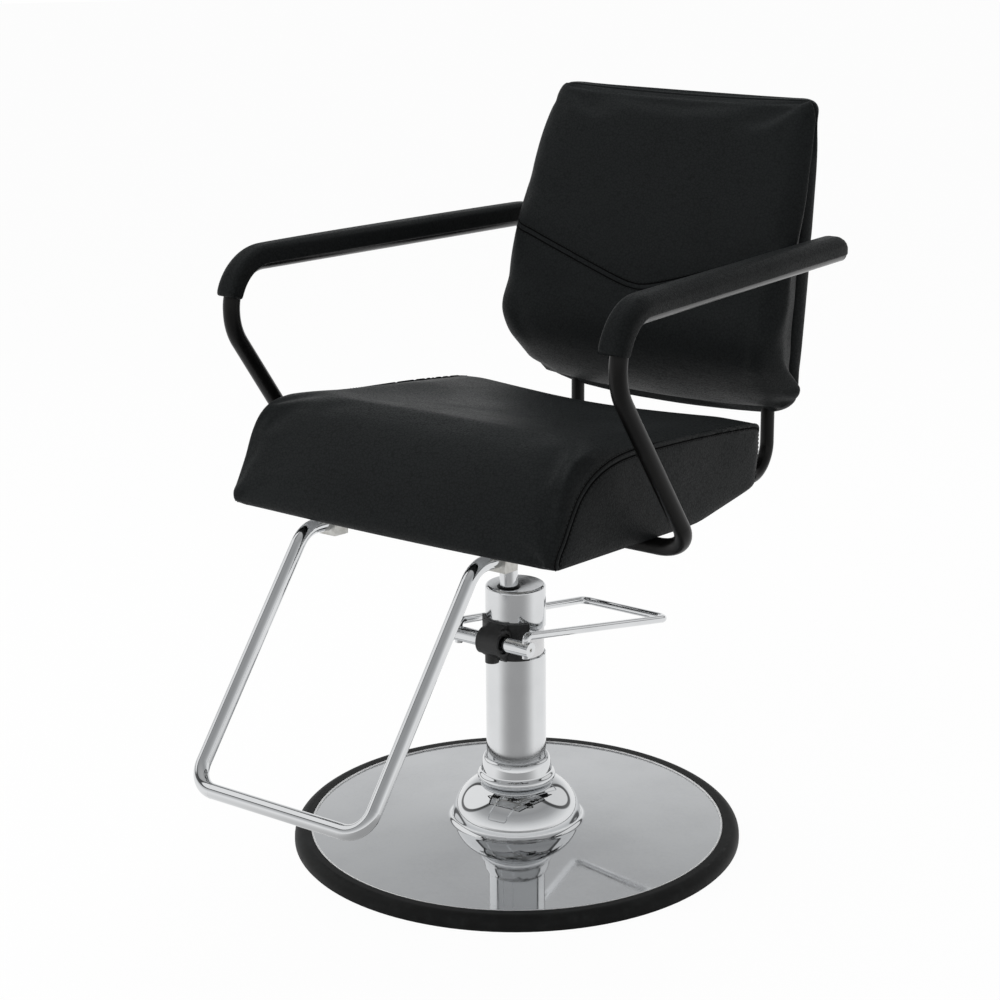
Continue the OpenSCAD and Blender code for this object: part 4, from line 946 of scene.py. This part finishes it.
def buildBackCushion():
    # Gives back the pad, its pins and the row of points along the sewn V
    profile, columns = backProfile(), backColumns()
    rows, wide = len(profile), len(columns)
    mid = back["seam"] + back["seamRise"] * back["seamMiddle"]
    seamRow = min(range(rows), key=lambda i: abs(profile[i][1] - mid))
    middle = profile[seamRow][1]
    points = [cushionPoint(profile, middle, spot, column, i in (0, rows - 1))
        for i, spot in enumerate(profile) for column in columns]
    faces = gridFaces(rows, wide, False)
    # Closing skin along the split plane
    border = list(range(wide)) + [i * wide + wide - 1 for i in range(1, rows)]
    border += [(rows - 1) * wide + j for j in range(wide - 2, -1, -1)]
    border += [i * wide for i in range(rows - 2, 0, -1)]
    first, n = len(points), len(border)
    centre = sum((points[k] for k in border), Vector()) / n
    points += [points[k].lerp(centre, back["skinInset"]) for k in border] + [centre]
    for j in range(n):
        k = (j + 1) % n
        faces += [(border[j], border[k], first + k, first + j), (first + j, first + k, first + n)]
    piece = makeObject("backPad", points, faces, "leather")

    def weigh(i, j):
        if i in (0, rows - 1, seamRow) or j in (0, wide - 1):
            return 1.0
        return back["nearSeamPin"] if abs(i - seamRow) == 1 else 0

    seamRun = [(seamRow * wide + j, kind, at) for j, (kind, at, _) in enumerate(columns)]
    return piece, pinGrid(piece, rows, wide, weigh), seamRun


def sinkBackSeam(seamRun):
    # Draws the seam in on the face, and gives back its line with the outer part of the walls
    line = []
    for index, kind, at in seamRun:
        spot = backPad.data.vertices[index].co
        if kind != "wall":
            spot.y += back["seamSink"] * mm
        if kind != "wall" or at > back["seamEnd"]:
            line.append(spot.copy())
    return line


backPad, backPins, seamRun = buildBackCushion()
print("back pad:", len(backPad.data.vertices), "points")
inflate(backPad, backPins, back["pressure"], back["swellLimit"] * mm)
backSeam = sinkBackSeam(seamRun)
finishPad(backPad, "back_cushion")
backTree = surfaceOf(backPad)
makeStitches("backStitches", backTree, makeSeam("back", backTree, backSeam))
print("back pad shaped and sewn")


# The shell's levels are set in from both ends, and its foot tilts from the plane to the rear
shell = {
    "half": 205, "rearLow": 391, "rearTop": 429, "insetShare": 0.45, "levels": 26,
    "ends": [0, 0.6, 2, 4.2, 7, 11, 16], "gap": 0.3, "lipGap": 0.4, "tuck": 9,
    "round": 19, "roundShare": 0.75, "flatten": 1.3, "wallCuts": (0.0, 0.2, 0.45, 0.75),
    "turnStep": 15, "flatSteps": 12, "footLift": 10, "footDrop": 4,
    "capRings": (0.35, 0.75), "capWidth": 0.93, "pressure": 2.2, "swellLimit": 4, "fill": 0.7,
}


def shellLevels():
    ends = shell["ends"]
    low, high = back["low"] + ends[-1], back["high"] - ends[-1]
    steps = shell["levels"]
    return [back["low"] + h for h in ends] \
        + [low + (high - low) * k / steps for k in range(1, steps)] \
        + [back["high"] - h for h in reversed(ends)]


def shellRing(z):
    # One level, round the sides and the rear and back along the split plane
    inset, share = backInset(z), backShare(z)
    half = shell["half"] - inset
    rear = shell["rearLow"] + (shell["rearTop"] - shell["rearLow"]) * share * (2 - share)
    rear -= shell["insetShare"] * inset
    front = splitDepth(z) + shell["gap"]
    r = min(shell["round"], (rear - front) * shell["roundShare"])
    wide = shell["flatten"] * r
    ring = [(half - shell["tuck"] * (1 - t) ** 2, front + (rear - r - front) * t)
        for t in shell["wallCuts"]]
    for a in range(0, 91, shell["turnStep"]):
        b = math.radians(a)
        ring.append((half - wide + wide * math.cos(b), rear - r + r * math.sin(b)))
    steps = shell["flatSteps"]
    ring += [((half - wide) * (1 - k / steps), rear) for k in range(1, steps + 1)]
    ring += [(-x, y) for x, y in reversed(ring[:-1])]
    edge = ring[0][0]
    ring += [(edge * (2 * k / steps - 1), front) for k in range(1, steps)]
    return [shellPoint(x, (y - front) / (rear - front), rear, z) for x, y in ring]


def shellPoint(x, deep, rear, z):
    # The foot sags in the middle and tilts with the depth
    s = x / shell["half"]
    tilt = shell["footLift"] - (shell["footDrop"] + shell["footLift"]) * deep
    h = z + (tilt - back["sag"] * (1 - s ** 2)) * footFade(z, back["low"])
    start = splitDepth(h) + shell["lipGap"]
    return Vector((x, start + (rear - start) * deep, h - topSag(h, s))) * mm


def capShell(points, faces, base, count):
    # Rings that close in on an end, and faces across the narrow slot that they leave
    outline = points[base:base + count]
    middle = sum(outline, Vector()) / count
    last = closeIn(points, faces, base, [[Vector((p.x + (p.x * shell["capWidth"] - p.x) * share,
        p.y + (middle.y - p.y) * share, p.z)) for p in outline] for share in shell["capRings"]])
    for j in range(count // 2):
        face = (last[j], last[j + 1], last[count - 2 - j], last[(count - 1 - j) % count])
        if len(set(face)) == len(face):
            faces.append(face)


def buildBackShell():
    rings = [shellRing(z) for z in shellLevels()]
    rows, count = len(rings), len(rings[0])
    points = [p for ring in rings for p in ring]
    faces = gridFaces(rows, count, True)
    for base in (0, (rows - 1) * count):
        capShell(points, faces, base, count)
    piece = makeObject("rearShell", points, faces, "leather")
    settle(piece.data, closing=True)
    # The rims along the split plane and at both ends stay where they are
    rim = count - shell["flatSteps"]
    return piece, pinGrid(piece, rows, count, lambda i, j: j == 0 or j >= rim or i in (0, rows - 1))


rearShell, shellPins = buildBackShell()
print("rear shell:", len(rearShell.data.vertices), "points")
inflate(rearShell, shellPins, shell["pressure"], shell["swellLimit"] * mm)
finishPad(rearShell, "back_shell")
print("rear shell shaped")


# Arm pads: a rounded cover along the tube and round its front bend
arm = {
    "rear": (256, 383, 761), "corner": (294, -207, 779), "knee": (294, -207, 697),
    "bend": 54, "legSteps": 40, "turnSteps": 18, "turnShare": 0.85,
    "tube": 11, "groove": 11.6, "grooveSlack": 0.2, "grooveSteps": 12, "skin": 1,
    "high": 13, "wide": 35, "shift": 1.5, "wrap": -0.1, "lip": 2.6, "lipSoft": (0.6, 0.7),
    "innerRise": 7, "innerRound": 0.42, "innerTurn": (90, 174, 6),
    "outerRound": 0.95, "outerTurn": (4, 90, 8),
    "endThin": 0.8, "endHeights": {0: 0.92, 1: 0.99}, "endWidth": 0.96, "endReach": 1.5,
    "pressure": 2.5, "swellLimit": 2.2, "pinnedEdge": 3, "fill": 0.6,
}


def armSection():
    # From the outer lip over the top to the inner lip, and back round the groove for the tube
    inner = -arm["wide"] / 2 - arm["shift"]
    outer = arm["wide"] / 2 - arm["shift"]
    top = arm["tube"] + arm["high"]
    ri, ro = (arm[key] * arm["wide"] / 2 for key in ("innerRound", "outerRound"))
    wrap = arm["wrap"] * arm["tube"]
    soft, softRise = arm["lipSoft"]
    lip = [(arm["lip"], wrap), (soft, wrap + softRise), (0, wrap + arm["lip"])]
    low = math.degrees(math.asin(-arm["wrap"]))
    return [(outer - x, h) for x, h in lip] \
        + arcPoints((outer - ro, top - ro), ro, *arm["outerTurn"]) \
        + arcPoints((inner + ri, top - ri), ri, *arm["innerTurn"]) \
        + [(inner, wrap + arm["innerRise"])] + [(inner + x, h) for x, h in reversed(lip)] \
        + arcPoints((0, 0), arm["groove"], 180 + low, -low, arm["grooveSteps"])


def armRing(section, at, ahead, along, fromEnd):
    # The section thins towards the front, and the last few millimetres round over
    across = (Vector((1, 0, 0)) - ahead * ahead.x).normalized()
    up = ahead.cross(across)
    past = max(0.0, 2 * along - 1)
    thin = (1 + (arm["endThin"] - 1) * past * past) * arm["endHeights"].get(fromEnd, 1.0)
    narrow = arm["endWidth"] + (1 - arm["endWidth"]) * min(1, fromEnd / arm["endReach"])
    floor = arm["tube"] + arm["skin"]
    ring = []
    for x, h in section:
        lift = h if h <= floor else floor + (h - floor) * thin
        inGroove = math.hypot(x, h) < arm["groove"] + arm["grooveSlack"]
        ring.append((at + across * (x if inGroove else x * narrow) + up * lift) * mm)
    return ring


def armEnd(ring, outer):
    # Outer points join the groove's points across the pad's thickness
    steps = arm["grooveSteps"]
    faces = []
    for j in range(outer - 1):
        a, b = (outer + round((1 - k / (outer - 1)) * steps) for k in (j, j + 1))
        faces.append((ring[j], ring[j + 1], ring[b], ring[a])[:3 if a == b else 4])
    return faces


def buildArmPad(name, way, replaced):
    path = bentPath(arm["rear"], arm["corner"], arm["knee"], arm["bend"],
        arm["legSteps"], arm["turnSteps"])
    path = path[:arm["legSteps"] + int(arm["turnSteps"] * arm["turnShare"]) + 1]
    section = armSection()
    rows, count = len(path), len(section)
    outer = count - arm["grooveSteps"] - 1
    points = []
    for i, (at, ahead) in enumerate(path):
        ring = armRing(section, at, ahead, i / (rows - 1), min(i, rows - 1 - i))
        points += [Vector((way * p.x, p.y, p.z)) for p in ring]
    faces = gridFaces(rows, count, True)
    for base in (0, (rows - 1) * count):
        faces += armEnd([base + j for j in range(count)], outer)
    piece = makeObject(name, points, faces, "padLeather")
    edge = arm["pinnedEdge"]
    pinned = pinGrid(piece, rows, count,
        lambda i, j: j < edge or j >= outer - edge or i in (0, rows - 1))
    inflate(piece, pinned, arm["pressure"], arm["swellLimit"] * mm)
    finishPad(piece, replaced)


buildArmPad("leftArmPad", 1, "left_arm_pad")
buildArmPad("rightArmPad", -1, "right_arm_pad")
print("arm pads shaped")


# Cover disc and collar, turned finely enough to mirror cleanly. Rim: radius and height. Flare
# and dome: radius, height and round of an arc, with the angles where they meet and end.
turned = {
    "steps": 288, "sharp": 38, "rim": (281, 17), "foot": 3, "sheet": 2, "bore": 40.3,
    "discCuts": (0.01, 0.1, 0.3, 0.5, 0.7, 0.9),
    "flare": (93.79, 33, 8), "flareTurn": 4.776, "flareSteps": 14,
    "dome": (33.97, 28, 52.03), "domeGap": 2, "domeEnd": 76, "domeSteps": 40,
    "collar": [(43.0, 79.0), (46.5, 79.05), (49.4, 80.1), (51.6, 82.3), (52.4, 85.4), (51.9, 88.6),
        (50.2, 91.0), (48.4, 92.4), (47.6, 93.8), (47.4, 95.6), (46.9, 101), (45.8, 107),
        (44.6, 111), (43.2, 113.1), (41.6, 113.7), (40.3, 113.4), (40.3, 79.0)],
}
# The cover's edge is rolled into a thin bright hem inside the rubber ring
hem = {"radius": 276.4, "height": 18.2, "wide": 1.5, "high": 1.2, "steps": 180, "sides": 10}


def coverLine(inset):
    # From the rim over the flare to the top of the dome
    rimR, rimZ = (size - inset for size in turned["rim"])
    flareR, flareZ, flareRound = turned["flare"]
    domeR, domeZ, domeRound = turned["dome"]
    flareLow = flareZ - flareRound - inset
    line = [(rimR, turned["foot"]), (rimR, rimZ)]
    line += [(rimR + (flareR - rimR) * t, rimZ + (flareLow - rimZ) * t)
        for t in turned["discCuts"]]
    line += arcPoints((flareR, flareZ), flareRound + inset, 270, 180 + turned["flareTurn"],
        turned["flareSteps"])
    line += arcPoints((domeR, domeZ), domeRound - inset, turned["flareTurn"] + turned["domeGap"],
        turned["domeEnd"], turned["domeSteps"])
    return line + [(turned["bore"], line[-1][1])]


def turnLine(name, line, steps, look):
    # A closed line of radius and height, turned round the column's axis
    points = [Vector((r * math.cos(a), r * math.sin(a), z)) * mm
        for r, z in line for a in fullTurn(steps)]
    faces = gridFaces(len(line), steps, True)
    faces += bridge(range(len(points) - steps, len(points)), range(steps))
    piece = makeObject(name, points, faces, look)
    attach(piece, "base")
    return piece


def buildCover():
    sheet = coverLine(0) + coverLine(turned["sheet"])[::-1]
    for name, line, replaced in (("coverSheet", sheet, "base_cover"),
            ("collarRing", turned["collar"], "column_collar")):
        piece = turnLine(name, line, turned["steps"], "chrome")
        piece.data.set_sharp_from_angle(angle=math.radians(turned["sharp"]))
        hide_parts(replaced)


def buildHem():
    line = [(hem["radius"] + hem["wide"] * math.cos(a), hem["height"] + hem["high"] * math.sin(a))
        for a in fullTurn(hem["sides"])]
    turnLine("coverHem", line, hem["steps"], "hem")


buildCover()
buildHem()
print("cover turned")


# Camera where the photograph was taken from. The focal length is in pixels of a square frame.
view = {
    "place": (1.72754, -2.40044, 1.34907), "focal": 2372.48, "pixels": 1000, "sensor": 36,
    "yaw": 0.6304, "pitch": 0.28917, "roll": -0.00725, "near": 0.05, "far": 60,
}


def addCamera():
    yaw, pitch, roll = view["yaw"], view["pitch"], view["roll"]
    ahead = Vector((-math.sin(yaw) * math.cos(pitch), math.cos(yaw) * math.cos(pitch),
        -math.sin(pitch)))
    level = Vector((math.cos(yaw), math.sin(yaw), 0))
    above = level.cross(ahead)
    right = level * math.cos(roll) + above * math.sin(roll)
    up = above * math.cos(roll) - level * math.sin(roll)
    data = bpy.data.cameras.new("camera")
    data.sensor_fit = "HORIZONTAL"
    data.sensor_width = view["sensor"]
    data.lens = view["focal"] * view["sensor"] / view["pixels"]
    data.clip_start, data.clip_end = view["near"], view["far"]
    camera = bpy.data.objects.new("camera", data)
    facing = Matrix((right, up, -ahead)).transposed().to_4x4()
    camera.matrix_world = Matrix.Translation(view["place"]) @ facing
    bpy.context.scene.collection.objects.link(camera)
    bpy.context.scene.camera = camera


addCamera()

# Studio: a pale floor, soft boxes, and a room that is white at eye level and grey above. Only
# mirrored rays see the room's tones, its darker side and its windows.
studio = {
    "ambient": 0.34,
    "tones": [(0.0, (1, 1, 1)), (0.53, (1, 1, 1)), (0.58, (0.9, 0.905, 0.91)),
        (0.64, (0.76, 0.765, 0.77)), (0.74, (0.5, 0.505, 0.51)), (0.86, (0.38, 0.385, 0.39)),
        (1.0, (0.5, 0.5, 0.5))],
    "dark": (0.59, -0.81, 0.0), "darkTone": 0.42, "darkRange": (0.25, 1.0),
    "core": 0.8, "coreRange": (0.78, 0.92),
    "windows": [((-0.8, -0.03, 0.6), 0.88, (1, 1, 1)),
        ((0.27, 0.755, 0.6), 0.92, (0.85, 0.85, 0.85))],
    "frame": 0.06, "frameTone": 0.2, "windowEdge": 0.015,
    "boxes": [
        ("keyBox", (-0.3, -2.5, 2.4), (0, 0.05, 0.55), 1.5, 1.2, 30),
        ("fillBox", (-2.4, -1.5, 1.9), (0, 0, 0.5), 1.6, 1.4, 12),
        ("topBox", (-0.5, 1.2, 2.9), (0, 0, 0.6), 1.8, 1.2, 42),
    ],
    "floor": ((0.9, 0.9, 0.9), (0.93, 0.93, 0.93)), "floorCloud": 3, "glow": 0.965,
    "floorRadius": 14, "floorSides": 64, "floorDrop": 0.0006,
}


def addLamp(name, place, target, wide, tall, power):
    data = bpy.data.lights.new(name, "AREA")
    data.shape = "RECTANGLE"
    data.size, data.size_y = wide, tall
    data.energy = power
    lamp = bpy.data.objects.new(name, data)
    lamp.location = place
    lamp.rotation_euler = (Vector(target) - Vector(place)).to_track_quat("-Z", "Y").to_euler()
    lamp.visible_glossy = False
    bpy.context.scene.collection.objects.link(lamp)


for box in studio["boxes"]:
    addLamp(*box)


def facingDark(f, where):
    # How far a place or direction lies towards the darker side of the studio
    return f.towards(f.vector("NORMALIZE", {0: f.stretch(where, (1, 1, 0))}), studio["dark"])


def mirroredRay(f):
    return (f.ray("Is Glossy Ray") + f.ray("Is Transmission Ray")).within(0, 1)


def seenRay(f):
    return (f.ray("Is Camera Ray") + mirroredRay(f)).within(0, 1)


def makeRoom():
    world = bpy.data.worlds.new("room")
    bpy.context.scene.world = world
    f = Finish("room", world)
    way = f.place("Generated")
    tone = f.node("ShaderNodeValToRGB", {"stops": studio["tones"]}, {0: f.height(way) * 0.5 + 0.5})
    # The sloping tubes mirror the narrow dark core as a stripe, and second mirrorings leave it out
    facing = facingDark(f, way)
    first = (2 - f.ray("Ray Depth")).within(0, 1)
    aside = 1 - facing.within(*studio["darkRange"]) * (1 - studio["darkTone"]) * first
    core = 1 - facing.within(*studio["coreRange"]) * studio["core"] * first
    toned = f.scaled(tone, aside * core)
    # A dark frame round each window draws the outlines that the dome mirrors
    for middle, edge, shine in studio["windows"]:
        near = f.towards(way, middle)
        outline = near.within(edge - studio["frame"], edge - studio["frame"] / 2)
        toned = f.blend(outline, toned, f.scaled(toned, studio["frameTone"]))
        toned = f.blend(near.within(edge, edge + studio["windowEdge"]), toned, shine)
    seen = f.blend(mirroredRay(f), (1, 1, 1), toned)
    ambient = {"Strength": studio["ambient"], "Color": (1, 1, 1)}
    plain = f.node("ShaderNodeBackground", None, ambient)
    shown = f.node("ShaderNodeBackground", None, {"Strength": 1.0, "Color": seen})
    f.finishWith(f.either(seenRay(f), plain, shown))


def makeFloor():
    f = Finish("paleFloor")
    where = f.place()
    cloud = f.noise(where, studio["floorCloud"], 3)
    ground = f.node("ShaderNodeBsdfDiffuse", None, {"Color": f.blend(cloud, *studio["floor"])})
    side = facingDark(f, where).within(*studio["darkRange"])
    shade = 1 - side * mirroredRay(f) * (1 - studio["darkTone"])
    glow = f.node("ShaderNodeEmission", None,
        {"Color": f.scaled((1, 1, 1), shade), "Strength": 1.0})
    f.finishWith(f.either(seenRay(f) * studio["glow"], ground, glow))
    looks["floor"] = f.holder
    sides, drop = studio["floorSides"], -studio["floorDrop"]
    rim = arcPoints((0, 0), studio["floorRadius"], 0, 360, sides)[:-1]
    floor = makeObject("floor", [(x, y, drop) for x, y in rim] + [(0, 0, drop)],
        [(k, (k + 1) % sides, sides) for k in range(sides)], "floor")


makeRoom()
makeFloor()
bpy.context.scene.view_settings.view_transform = "Standard"
print("studio set")
